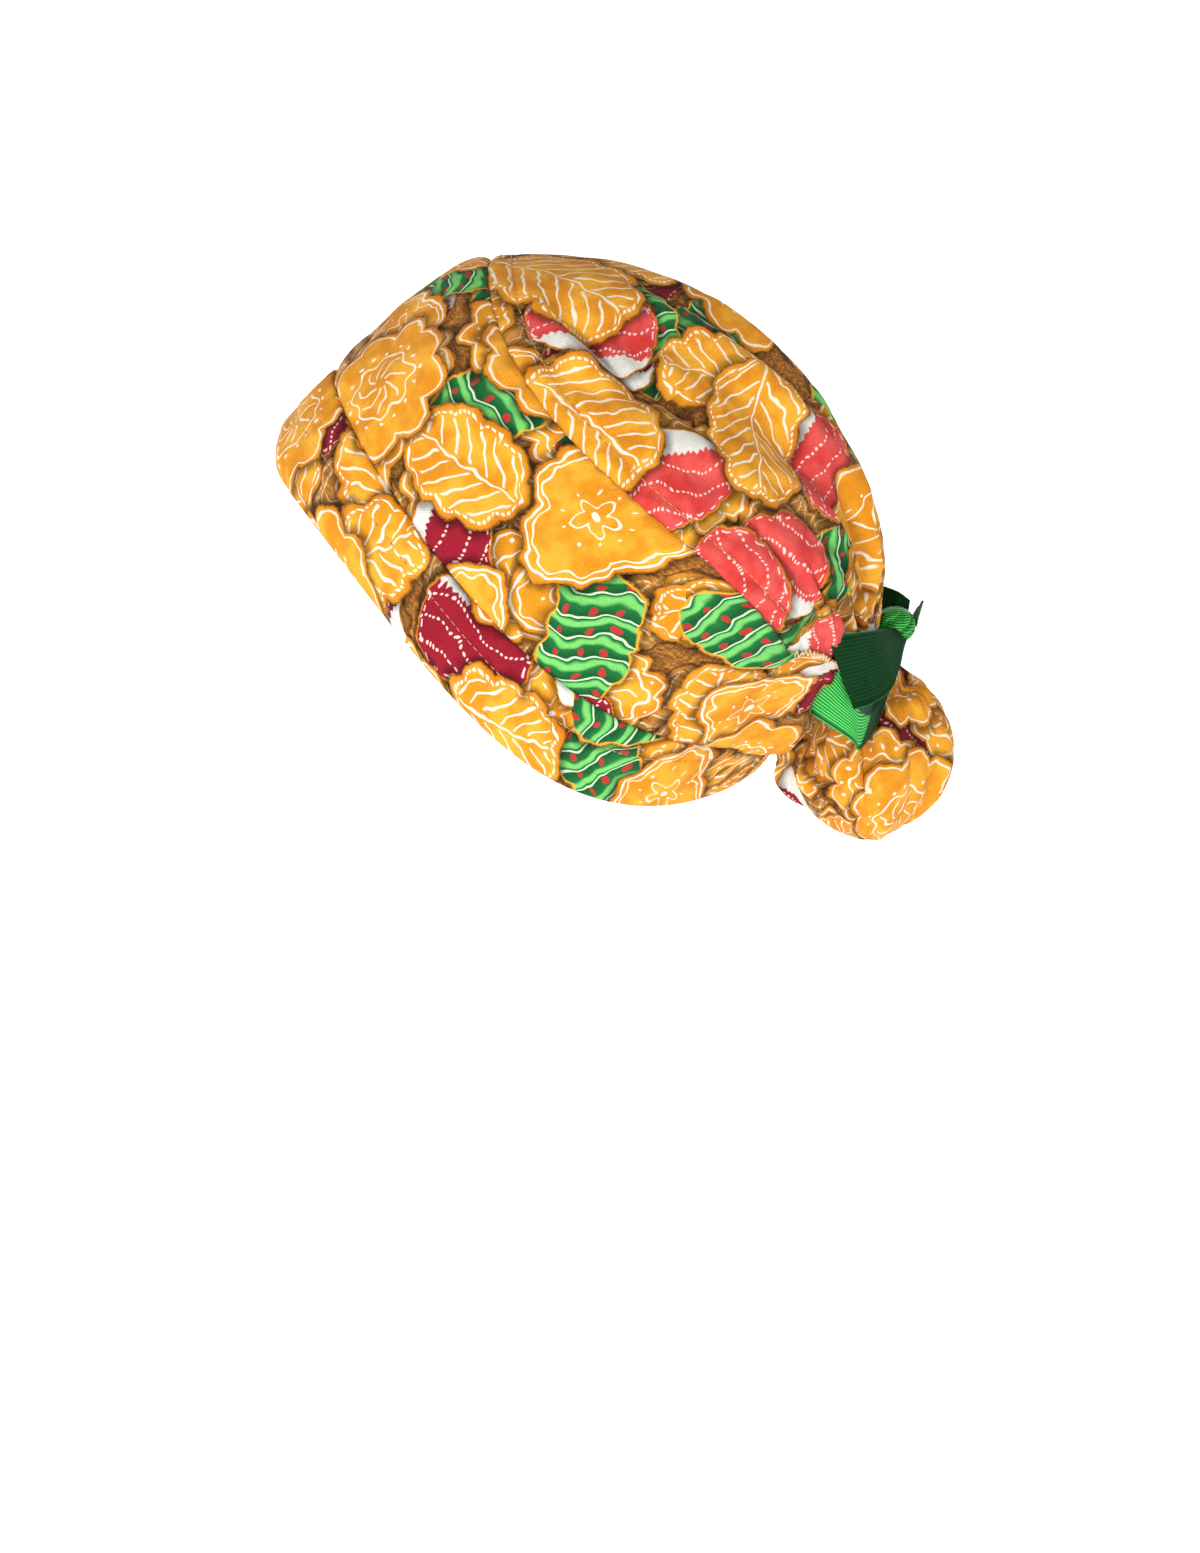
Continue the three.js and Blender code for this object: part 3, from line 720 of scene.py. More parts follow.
def ribbon_shape(route, turned, crease=None):
    """A ribbon's surface: straight across between its edges, standing out in an arch or a creased ridge."""
    rows = route_rows(route, turned)

    def shape(along, across):
        row = smooth_row(rows, np.asarray(along * (len(rows) - 1), float))
        arched = np.sin(np.pi * across)
        if crease is not None:
            first, last, share = crease
            place = first + (last - first) * np.clip(along / 0.4, 0, 1)
            ridge = np.where(across < place, across / place, (1 - across) / (1 - place))
            arched = arched * (1 - share) + share * ridge
        return row[..., 0:3] * (1 - across[..., None]) + row[..., 3:6] * across[..., None] \
            + row[..., 6:9] * arched[..., None]
    return shape


def ribbon(name, node, route, turned=1, crease=None, wave=0.0, seed=1):
    """A satin ribbon on its route, with slight waves along it and thin rounded edges."""
    shape = ribbon_shape(route, turned, crease)
    across = edge_spaced(44, 0.012)[None, :]
    along = edge_spaced(150, 0.006)[:, None]
    across, along = np.broadcast_arrays(across, along)
    lift = wave * crumple(along * 40, across * 22, 15, 1.0, seed) * np.sin(np.pi * along) ** 0.5
    points = lifted(shape, along, across, lift * turned)
    if turned < 0:
        points = points[:, ::-1]
    pattern = np.stack([across * RIBBON_WIDTH, arc(points, 0)], axis=-1)
    piece = cloth_piece(name, points, RIBBON_WALL, pattern)
    return belongs(piece, "satin_ribbon", node)


def knot():
    """The knot: an egg wound with ribbon; its radius is cut by slanting wrinkles and one waist."""
    columns, rows = 128, 72
    turn = np.linspace(0, TURN, columns + 1)[None, :]
    polar = np.linspace(0, np.pi, rows + 1)[:, None]
    wrinkle = np.abs(np.sin(3.0 * (turn + 0.7 * polar) + 1.6 * polar + 0.6 * np.sin(2 * turn + polar * 3)))
    fine = np.sin(17 * turn + 6 * polar)
    swell = 1 - 0.26 * (1 - wrinkle) ** 2 * np.sin(polar) - 0.012 * fine * np.sin(polar) ** 2
    unit = np.stack([
        np.sin(polar) * np.cos(turn) * swell, np.sin(polar) * np.sin(turn) * swell,
        np.cos(polar) * np.ones_like(turn),
    ], axis=-1)
    points = unit * KNOT / 2 + KNOT_CENTRE
    index = 1 + np.arange((rows - 1) * columns).reshape(rows - 1, columns)
    index = np.hstack([index, index[:, :1]])
    last = (rows - 1) * columns + 1
    faces = quads(index)[:, TURNED]
    top = np.stack([np.zeros(columns, int), index[0, :-1], index[0, 1:]], axis=-1)
    bottom = np.stack([np.full(columns, last), index[-1, 1:], index[-1, :-1]], axis=-1)
    vertices = np.concatenate([points[0, :1], points[1:-1, :-1].reshape(-1, 3), points[-1, :1]])
    grid = np.stack([polar * 9 * np.ones_like(turn), turn * 8 * np.ones_like(polar)], axis=-1)
    spot = np.arange(grid.shape[0] * grid.shape[1]).reshape(grid.shape[:2])
    middle = spot[1:-1]
    loops = quads(middle)[:, TURNED]
    top_loops = np.stack([spot[0, :-1], spot[1, :-1], spot[1, 1:]], axis=-1)
    bottom_loops = np.stack([spot[-1, 1:], spot[-2, 1:], spot[-2, :-1]], axis=-1)
    uv = grid.reshape(-1, 2)[np.concatenate([loops.ravel(), top_loops.ravel(), bottom_loops.ravel()])]
    piece = make_mesh("ribbon_knot_satin", vertices, faces.tolist() + top.tolist() + bottom.tolist(), uv)
    return belongs(piece, "satin_ribbon", "ribbon_knot")


# --- Stitches -----------------------------------------------------------------------------------


sewn = {}


def grid_line(name, across, along, wall):
    """A line over a piece's kept grid, by its two values: points half a wall out, and normals."""
    points, columns, rows = sewn_on[name]
    normal = grid_normals(points, False)
    column = np.interp(across, columns, np.arange(len(columns)))
    row = np.interp(along, rows, np.arange(len(rows)))
    left, low = np.minimum(column.astype(int), len(columns) - 2), np.minimum(row.astype(int), len(rows) - 2)
    s, t = (column - left)[:, None], (row - low)[:, None]

    def mix(grid):
        first = grid[low, left] * (1 - s) + grid[low, left + 1] * s
        return first * (1 - t) + (grid[low + 1, left] * (1 - s) + grid[low + 1, left + 1] * s) * t

    normals = unit(mix(normal))
    return mix(points) + normals * wall / 2, normals


def spaced(values, run, spot):
    """Three values each, known at the lengths run along a line, taken at the lengths spot."""
    return np.stack([np.interp(spot, run, values[:, axis]) for axis in range(3)], axis=-1)


def zigzag(points, normals, half, step):
    """A line turned into a zigzag: equal steps along it, thrown half a width to each side in turn."""
    run = arc(points[:, None, :], 0)[:, 0]
    count = int(run[-1] // step)
    spot = np.arange(count + 1) * step
    line, normal = spaced(points, run, spot), spaced(normals, run, spot)
    side = unit(np.cross(normal, np.gradient(line, axis=0)))
    return line + side * half * np.where(np.arange(count + 1) % 2, 1, -1)[:, None], normal


def stitches(name, points, normals, pitch, length, thick, lift=0.1):
    """Thread stitches along a line: small closed rods, one every pitch, bowed down at both ends."""
    run = arc(points[:, None, :], 0)[:, 0]
    count = int(run[-1] // pitch)
    centre = (np.arange(count) + 0.5) * pitch
    part = np.array([-0.5, -0.38, 0.0, 0.38, 0.5])
    width = np.array([0.25, 0.85, 1.0, 0.85, 0.25])
    spot = centre[:, None] + part[None, :] * length
    line, normal = spaced(points, run, spot), spaced(normals, run, spot)
    normal = unit(normal)
    along = unit(np.gradient(line, axis=1))
    side = np.cross(normal, along)
    line = line + normal * (lift + thick * (0.35 - 1.6 * part[None, :, None] ** 2))
    ring = np.linspace(0, TURN, 7)[:-1]
    out = side[:, :, None] * np.cos(ring)[:, None] + normal[:, :, None] * np.sin(ring)[:, None]
    vertices = (line[:, :, None] + out * (thick / 2 * width)[:, None, None]).reshape(-1, 3)
    index = np.arange(30).reshape(5, 6)
    wrapped = np.hstack([index, index[:, :1]])
    one = quads(wrapped)[:, TURNED]
    faces = (one[None] + 30 * np.arange(count)[:, None, None]).reshape(-1, 4).tolist()
    for end, order in ((0, 1), (4, -1)):
        cap = index[end][::order]
        faces += (cap[None] + 30 * np.arange(count)[:, None]).tolist()
    piece = belongs(make_mesh(name, vertices, faces), "printed_cotton")
    sewn[name] = piece
    return piece


def cap_line(place, angle, lift=0.0):
    """A line on the cap's cloth with its normals."""
    points = cap_cloth(place, angle, lift)
    return points, outward(cap_shape, place, angle)


# The bar tack's start and end, as shares of the side panel's run.
BAR_TACK_RUN = (0.815, 0.975)

# The short seam on the pouch's left: angles from and to in degrees, rows from and to.
POUCH_THREAD = (119, 135, 1.88, 2.58)


def all_stitches():
    """Topstitching of the band and the crown, the loose flap's edge and the bar tacks of both tabs."""
    angle = np.linspace(-np.pi, np.pi, 1600)
    stitches("band_topstitch", *cap_line(walk(0, STITCH_UP, angle), angle, -0.05), 2.6, 1.9, 0.4)
    reach = np.radians(114)
    angle = np.linspace(-reach, reach, 1400)
    stitches("crown_topstitch", *cap_line(walk(CROWN_SEAM, STITCH_BACK, angle), angle, -0.4), 2.6, 1.9, 0.4)
    for word, side in (("left", 1), ("right", -1)):
        run = np.linspace(*BAR_TACK_RUN, 80)
        tack = grid_line("side_panel", 0.5 + side * run / 2, 0.955 + 0 * run, CLOTH_WALL)
        path, normals = zigzag(*tack, 1.25, 0.8)
        stitches("bar_tack_" + word, path, normals, 2.62, 2.5, 0.4, 0.05)
        rise = np.linspace(0.02, 0.42, 160)
        hem = grid_line("side_panel", 0.5 + side * (0.5 - 0.0062 + 0 * rise), rise, CLOTH_WALL)
        stitches("flap_stitch_" + word, *hem, 2.6, 1.9, 0.36, -0.05)
        run = np.linspace(0.9, 0.985, 140)
        foot = grid_line("side_panel", 0.5 + side * run / 2, 0.055 + 0 * run, CLOTH_WALL)
        stitches("flap_foot_stitch_" + word, *foot, 2.6, 1.9, 0.36, -0.05)
    turn = np.linspace(*POUCH_THREAD[:2], 60)
    seam = grid_line("pouch", turn, np.linspace(*POUCH_THREAD[2:], 60), CLOTH_WALL)
    stitches("pouch_stitch", *seam, 2.4, 1.7, 0.36, -0.05)


# --- Materials ----------------------------------------------------------------------------------


class Wire:
    """A socket in a material. Arithmetic on it adds Math nodes, so that a formula reads as one."""

    def __init__(self, tree, socket):
        self.tree = tree
        self.socket = socket

    def node(self, kind, settings=None, inputs=None, output=0):
        """Adds any other node: settings first, then values and links by socket name or number."""
        made = self.tree.nodes.new(kind)
        for name, value in (settings or {}).items():
            setattr(made, name, value)
        for key, value in (inputs or {}).items():
            if isinstance(value, Wire):
                self.tree.links.new(value.socket, made.inputs[key])
            else:
                made.inputs[key].default_value = value
        return Wire(self.tree, made.outputs[output])

    def math(self, operation, other=None, flip=False):
        """One Math node on this number and perhaps another; flip swaps the two."""
        values = [other, self] if flip else [self, other]
        inputs = {number: value for number, value in enumerate(values) if value is not None}
        return self.node("ShaderNodeMath", {"operation": operation}, inputs)

    def __add__(self, other):
        return self.math("ADD", other)

    __radd__ = __add__

    def __sub__(self, other):
        return self.math("SUBTRACT", other)

    def __rsub__(self, other):
        return self.math("SUBTRACT", other, flip=True)

    def __mul__(self, other):
        return self.math("MULTIPLY", other)

    __rmul__ = __mul__

    def __truediv__(self, other):
        return self.math("DIVIDE", other)

    def __rtruediv__(self, other):
        return self.math("DIVIDE", other, flip=True)

    def __pow__(self, other):
        return self.math("POWER", other)

    def __abs__(self):
        return self.math("ABSOLUTE")

    def __lt__(self, other):
        return self.math("LESS_THAN", other)

    def __gt__(self, other):
        return self.math("GREATER_THAN", other)

    def at_least(self, other):
        return self.math("MAXIMUM", other)

    def sine(self):
        return self.math("SINE")

    def cosine(self):
        return self.math("COSINE")

    def fraction(self):
        return self.math("FRACT")

    def step(self, low, high):
        """Zero at low, one at high, smooth between; low may be the larger."""
        return self.node("ShaderNodeMapRange", {"interpolation_type": "SMOOTHSTEP"},
                         {"Value": self, "From Min": low, "From Max": high, "To Min": 0.0, "To Max": 1.0})

    def between(self, low, high):
        """A straight run from low at zero to high at one."""
        return self.node("ShaderNodeMapRange", {}, {"Value": self, "To Min": low, "To Max": high})

    def colour(self, first, second):
        """Mixes two colours by this factor."""
        return self.node("ShaderNodeMix", {"data_type": "RGBA"}, {0: self, 6: first, 7: second}, 2)

    def number(self, first, second):
        """Mixes two numbers by this factor."""
        return self.node("ShaderNodeMix", {"data_type": "FLOAT"}, {0: self, 2: first, 3: second}, 0)

    def vector(self, first, second):
        """Mixes two vectors by this factor."""
        return self.node("ShaderNodeMix", {"data_type": "VECTOR"}, {0: self, 4: first, 5: second}, 1)

    def tint(self, colour):
        """Multiplies a colour by a colour."""
        settings = {"data_type": "RGBA", "blend_type": "MULTIPLY"}
        return self.node("ShaderNodeMix", settings, {0: 1.0, 6: self, 7: colour}, 2)

    def dim(self, light):
        """Multiplies a colour by a number."""
        return self.tint(light.node("ShaderNodeCombineColor", {}, {0: light, 1: light, 2: light}))

    def vec(self, operation, *others, output=0):
        """A Vector Math node on this vector."""
        inputs = {0: self, **{number: value for number, value in enumerate(others, 1)}}
        return self.node("ShaderNodeVectorMath", {"operation": operation}, inputs, output)

    def parts(self):
        """The three numbers of a vector."""
        made = self.tree.nodes.new("ShaderNodeSeparateXYZ")
        self.tree.links.new(self.socket, made.inputs[0])
        return [Wire(self.tree, output) for output in made.outputs]

    def noise(self, scale, detail=2.0, roughness=0.5, dimensions="3D", output=0):
        return self.node("ShaderNodeTexNoise", {"noise_dimensions": dimensions},
                         {"Vector": self, "Scale": scale, "Detail": detail, "Roughness": roughness}, output)


def rgb(red, green, blue):
    """A colour from 0 to 255 as seen, turned into the linear values that nodes want."""
    linear = [((v / 255 + 0.055) / 1.055) ** 2.4 if v > 10 else v / 255 / 12.92 for v in (red, green, blue)]
    return (*linear, 1.0)


def new_material(name, **constants):
    """A node material with its shader's constants set; returns it, its start wire and its shader."""
    material = bpy.data.materials.new(name)
    material.use_nodes = True
    shader = material.node_tree.nodes["Principled BSDF"]
    for key, value in constants.items():
        shader.inputs[key.replace("_", " ")].default_value = value
    return material, Wire(material.node_tree, None), shader


def finish_material(material, shader, height=None, distance=0.0002, strength=1.0, **links):
    """Links the varying inputs and a bump to the shader."""
    tree = material.node_tree
    for key, wire in links.items():
        tree.links.new(wire.socket, shader.inputs[key.replace("_", " ")])
    if height is not None:
        bump = height.node("ShaderNodeBump", {}, {"Height": height, "Distance": distance, "Strength": strength})
        tree.links.new(bump.socket, shader.inputs["Normal"])
    return material


GOLD = rgb(226, 144, 30)
GOLD_PALE = rgb(240, 170, 52)
GOLD_DEEP = rgb(190, 108, 18)
TAN = rgb(204, 138, 58)
TAN_DEEP = rgb(172, 108, 42)
LINE = rgb(66, 42, 26)
ICING = rgb(250, 236, 214)
RED = rgb(216, 62, 58)
RED_DEEP = rgb(150, 26, 44)
GREEN = rgb(34, 128, 62)
GREEN_DEEP = rgb(20, 84, 44)
GREEN_PALE = rgb(122, 206, 108)
WHITE = rgb(226, 222, 214)

# What may be cut from the dough, by share of the pieces: where its range starts, its size as a share of
# the cell, how long, how three-sided and how scalloped it is.
SHAPES = [
    (0.00, 0.440, 0.500, 0.500, 0.64),
    (0.26, 0.415, 0.500, 0.650, 0.55),
    (0.46, 0.420, 0.680, 0.500, 0.58),
    (0.70, 0.425, 0.610, 0.560, 0.50),
    (0.84, 0.410, 0.730, 0.520, 0.56),
]


# The topmost layer holds fewer and larger pieces: the ranges with no size stay empty.
SPARSE_SHAPES = [
    (0.00, 0.0, 0.5, 0.5, 0.5), (0.14, 0.400, 0.500, 0.500, 0.62), (0.26, 0.0, 0.5, 0.5, 0.5),
    (0.36, 0.380, 0.500, 0.640, 0.55), (0.46, 0.0, 0.5, 0.5, 0.5), (0.60, 0.390, 0.660, 0.500, 0.57),
    (0.70, 0.420, 0.600, 0.550, 0.50), (0.77, 0.0, 0.5, 0.5, 0.5), (0.84, 0.0, 0.5, 0.5, 0.5),
    (0.92, 0.390, 0.710, 0.520, 0.56),
]


def shape_ramp(start, chance, shapes):
    """A stepped ramp that holds the four numbers of the shape for each range of chance."""
    made = start.tree.nodes.new("ShaderNodeValToRGB")
    made.color_ramp.interpolation = "CONSTANT"
    elements = made.color_ramp.elements
    while len(elements) < len(shapes):
        elements.new(0.5)
    for element, (place, size, long, three, scallop) in zip(elements, shapes):
        element.position = place
        element.color = (size, long, three, scallop)
        element.alpha = scallop
    start.tree.links.new(chance.socket, made.inputs[0])
    return Wire(start.tree, made.outputs[0]).parts() + [Wire(start.tree, made.outputs[1])]


# The printed layers from the top down: cell in millimetres, turn, shift in cells, seed and brightness.
LAYERS = [
    (62.0, 0.45, (0.31, 0.12), 3.0, 1.0), (46.0, -0.72, (0.83, 0.57), 11.0, 1.0),
    (44.0, 0.98, (0.17, 0.71), 23.0, 0.8), (41.0, 0.15, (0.55, 0.35), 31.0, 0.7),
    (37.0, 0.62, (0.27, 0.93), 43.0, 0.4),
]


def printed_layer(flat, cell, turn, shift, seed, shapes=SHAPES):
    """One layer of scattered biscuits on a grid of cells: local place in millimetres, chance, and distance
    outside the edge in millimetres. The edge is an ellipse with three-sided and scalloped waves."""
    grid = flat.node("ShaderNodeMapping", {}, {
        "Vector": flat, "Location": (shift[0], shift[1], 0), "Rotation": (0, 0, turn),
        "Scale": (1 / cell, 1 / cell, 1)})
    cell_id = grid.vec("FLOOR")
    chance = cell_id.node("ShaderNodeTexWhiteNoise", {"noise_dimensions": "3D"},
                          {"Vector": cell_id.vec("ADD", (seed, seed * 0.5, seed * 0.25))}, 1)
    local = grid.vec("SUBTRACT", cell_id).vec("SUBTRACT", (0.5, 0.5, 0.0))
    jitter = chance.vec("SUBTRACT", (0.5, 0.5, 0.5)).vec("MULTIPLY", (0.16, 0.16, 0.0))
    local = local.vec("ADD", jitter)
    red, _, blue = chance.parts()
    local = local.node("ShaderNodeVectorRotate", {"rotation_type": "Z_AXIS"},
                       {"Vector": local, "Angle": blue * (2 * math.pi * 7)})
    x, y, _ = local.parts()
    angle = y.math("ARCTAN2", x)
    radius = local.vec("LENGTH", output=1)
    size, long, three, scallop = shape_ramp(flat, red, shapes)
    edge = size * (1 + (long - 0.5) * (angle * 2).cosine() + (three - 0.5) * (angle * 3).cosine()
                   + (scallop - 0.5) * (abs((angle * 4.5).cosine()) * 1.3 - 0.83))
    scaled = local.node("ShaderNodeVectorMath", {"operation": "SCALE"}, {0: local, "Scale": cell})
    return {"local": scaled, "chance": red, "away": (radius - edge) * cell}


def line(distance, width):
    """One on a line, zero beside it."""
    return abs(distance).step(width, width * 0.45)


def stacked_layers(warped):
    """The layers laid over each other from the bottom up, each one's shadow on those below it."""
    layers = [printed_layer(warped, *row[:4], SPARSE_SHAPES if row is LAYERS[0] else SHAPES) for row in LAYERS]
    chosen = None
    for row, layer in reversed(list(zip(LAYERS, layers))):
        level = row[4]
        inside = layer["away"] < 0.0
        if chosen is None:
            chosen = {**layer, "level": inside * 0 + level, "shade": inside * 0 + 1.0, "inside": inside}
            continue
        shadow = layer["away"].step(3.8, -0.6) * 0.74
        taken = {key: inside.number(chosen[key], layer[key]) for key in ("chance", "away")}
        chosen = {
            **taken,
            "local": inside.vector(chosen["local"], layer["local"]),
            "level": inside.number(chosen["level"], level),
            "shade": inside.number(chosen["shade"] * (1.0 - shadow), 1.0),
            "inside": inside.at_least(chosen["inside"]),
        }
    return chosen


def icing_lines(x, y, radius, angle, away):
    """Iced lines by kind of biscuit: a sun with swirls, a flower in a trefoil, and rows of veins."""
    border = line(away + 2.2, 0.55)
    swirl = line((angle * 4.0 + radius * 0.34).sine() * radius * 0.25, 0.5)
    swirl = swirl * radius.step(1.8, 3.0) * radius.step(10.6, 9.8)
    ring = line(radius - 11.6 - (angle * 8.0).cosine() * 0.9, 0.5)
    drops = line(((radius - 14.3) ** 2 + ((angle * 8.0).sine() * 1.7) ** 2) ** 0.5, 0.85)
    sun = swirl.at_least(ring).at_least(drops * away.step(-2.6, -3.2)).at_least(border * 0.85)
    beads = line(((radius - 9.4) ** 2 + ((angle * 5.0).sine() * 3.6) ** 2) ** 0.5, 0.95)
    petals = line(radius - 5.0 - (angle * 5.0).cosine() * 1.9, 0.5).at_least(radius.step(1.5, 1.0))
    trefoil = line(away + 4.4 + (angle * 14.0).cosine() * 0.55, 0.45)
    trefoil = trefoil.at_least(beads).at_least(petals).at_least(border)
    arrow = ((x + abs(y) * 0.9) / 6.0).fraction() - 0.5
    veins = line(arrow * 4.4, 0.5) * abs(y).step(0.9, 1.6)
    veins = veins.at_least(line(y, 0.5)) * away.step(-3.6, -4.4)
    pearls = line((away + 2.6), 0.6) * ((x + y) * 2.6).sine().step(-0.5, -0.1)
    rows = veins.at_least(pearls)
    return sun, trefoil, rows


def leaf_colours(x, y, away):
    """A green leaf: wavy bands from dark to light with a pale line each, red berries and a golden edge."""
    band = ((x + (y * 0.24).sine() * 1.8) / 7.4).fraction()
    leaf = band.step(0.1, 0.9).colour(GREEN_DEEP, GREEN)
    leaf = (band.step(0.55, 0.72) * band.step(1.0, 0.86)).colour(leaf, GREEN_PALE)
    leaf = line(band * 7.4 - 0.7, 0.45).colour(leaf, rgb(206, 236, 190))
    berry_y = ((y + 3.0) / 8.0).fraction() - 0.5
    berries = ((((band - 0.34) * 7.4) ** 2 + (berry_y * 8.0) ** 2) ** 0.5).step(1.3, 0.95)
    leaf = berries.colour(leaf, rgb(196, 50, 48))
    return away.step(-1.6, -0.9).colour(leaf, GOLD_PALE)


def bauble_colours(x, y, angle, away, mottle, low):
    """A red bauble, deeper where it lies low: rows of dots, a stitched rim and a white zigzag cuff."""
    bauble = mottle.step(0.3, 0.7).colour(RED, rgb(226, 88, 82))
    bauble = low.colour(bauble, RED_DEEP)
    dots_y = ((y + (x * 0.17).sine() * 2.6) / 8.0).fraction() - 0.5
    dots_x = (x / 1.7).fraction() - 0.5
    dots = (((dots_y * 8.0) ** 2 + (dots_x * 1.7) ** 2) ** 0.5).step(0.6, 0.36)
    stitched = line(away + 1.9, 0.38) * (angle * 24.0).sine().step(-0.1, 0.2)
    cuff = (y - 7.4 - abs((x / 2.2).fraction() - 0.5) * 1.9).step(-0.2, 0.3)
    bauble = (dots.at_least(stitched)).colour(bauble, rgb(250, 214, 206))
    bauble = cuff.colour(bauble, WHITE)
    return away.step(-1.1, -0.6).colour(bauble, GOLD)


def biscuit_print(flat):
    """The printed cotton's colours: layers of iced biscuits, leaves and baubles over a brown ground."""
    wobble = flat.noise(0.12, 1.0, 0.6, "2D", 1).vec("SUBTRACT", (0.5, 0.5, 0.5)).vec("MULTIPLY", (4.2, 4.2, 0))
    warped = flat.vec("ADD", wobble)
    chosen = stacked_layers(warped)
    rough_line = flat.noise(0.9, 0.0, 0.5, "2D").between(0.2, 1.1)
    x, y, _ = chosen["local"].parts()
    away, chance = chosen["away"], chosen["chance"]
    radius = chosen["local"].vec("LENGTH", output=1)
    angle = y.math("ARCTAN2", x)

    sun, trefoil, rows = icing_lines(x, y, radius, angle, away)
    is_sun = chance < SHAPES[1][0]
    is_trefoil = chance < SHAPES[2][0]
    is_gold = chance < SHAPES[3][0]
    is_red = (chance < SHAPES[4][0]) * (1.0 - is_gold)
    icing = is_trefoil.number(rows, is_sun.number(trefoil, sun))

    mottle = flat.noise(0.08, 2.0, 0.62, "2D")
    grain = flat.noise(0.8, 1.0, 0.6, "2D")
    dough = mottle.step(0.36, 0.66).colour(GOLD, GOLD_PALE)
    dough = (away.step(-3.4, 0.3) * 0.75).colour(dough, GOLD_DEEP)
    dough = icing.colour(dough, ICING)

    strokes = warped.vec("MULTIPLY", (0.24, 1.8, 1.0)).noise(1.0, 0.0, 0.5, "2D").step(0.6, 0.7)
    leaf = leaf_colours(x, y, away)
    bauble = bauble_colours(x, y, angle, away, mottle, chosen["level"] < 0.9)
    colour = is_gold.colour(is_red.colour(leaf, bauble), dough)
    faded = colour.tint(rgb(184, 164, 148))
    deep = chosen["level"].step(0.55, 0.3)
    colour = deep.colour(colour, faded)
    under = (chosen["level"] < 0.5) * is_gold
    lower_dough = icing.colour(mottle.step(0.3, 0.7).colour(TAN_DEEP, TAN), rgb(226, 196, 150))
    colour = under.colour(colour, lower_dough)
    ground = grain.step(0.35, 0.7).colour(rgb(146, 92, 38), rgb(190, 126, 54))
    colour = chosen["inside"].colour(ground, colour)
    deep_place = (chosen["level"] < 0.5).at_least(1.0 - chosen["inside"])
    colour = (strokes * deep_place * 0.45).colour(colour, LINE)
    outline = abs(away).step(0.85, 0.3) * rough_line
    colour = outline.colour(colour, LINE)
    shade = chosen["shade"] * grain.between(0.9, 1.08) * mottle.between(0.9, 1.06)
    return colour.dim(shade)


WEAVE_PITCH = 0.5


def weave(flat):
    """A plain weave: threads over and under each other, each a little uneven along its run."""
    x, y, _ = flat.parts()
    slub_x = flat.vec("MULTIPLY", (0.16, 3.2, 1.0)).noise(1.0, 0.0, 0.5, "2D")
    slub_y = flat.vec("MULTIPLY", (3.2, 0.16, 1.0)).noise(1.0, 0.0, 0.5, "2D")
    across = (x * (math.pi / WEAVE_PITCH)).sine()
    along = (y * (math.pi / WEAVE_PITCH)).sine()
    return across * along * 0.5 + (slub_x + slub_y - 1.0) * 1.1


def cloth_place(start):
    """Where a point lies on the flat cloth, in millimetres."""
    return start.node("ShaderNodeUVMap", {"uv_map": "cloth"}).vec("MULTIPLY", (1000.0, 1000.0, 0.0))


def printed_cotton():
    """Matt printed cotton: the print in the cloth's own coordinates, with painted shade darker where the weave
    lies low, and uneven slub tone along the threads.
    """
    material, start, shader = new_material(
        "printed_cotton_looks", Roughness=0.9, Specular_IOR_Level=0.12, Sheen_Weight=0.03, Sheen_Roughness=0.5)
    flat = cloth_place(start)
    threads = weave(flat)
    # Painted shade: the colour follows the weave's height, darker between the threads; the slubs add real
    # unevenness of tone.
    light = threads.between(0.93, 1.11)
    return finish_material(material, shader, threads, 0.0002, 0.8, Base_Color=biscuit_print(flat).dim(light))


def cotton_reverse():
    """The cotton's wrong side: the print shows through the pale cloth as soft tints."""
    material, start, shader = new_material("printed_cotton_reverse", Roughness=0.9, Specular_IOR_Level=0.2)
    flat = cloth_place(start)
    threads = weave(flat)
    colour = flat.noise(0.045, 3.0, 0.6, "2D").step(0.42, 0.6).colour(rgb(226, 190, 140), rgb(214, 170, 112))
    pink = flat.noise(0.038, 2.0, 0.5, "2D").step(0.6, 0.64)
    green = flat.vec("ADD", (310.0, 90.0, 0.0)).noise(0.04, 2.0, 0.5, "2D").step(0.62, 0.66)
    colour = green.colour(pink.colour(colour, rgb(222, 160, 146)), rgb(160, 178, 132))
    # Painted shade: darker where the weave lies low; the slubs add real unevenness of tone along the threads.
    colour = colour.dim(threads.between(0.93, 1.08))
    return finish_material(material, shader, threads, 0.0002, 0.8, Base_Color=colour)


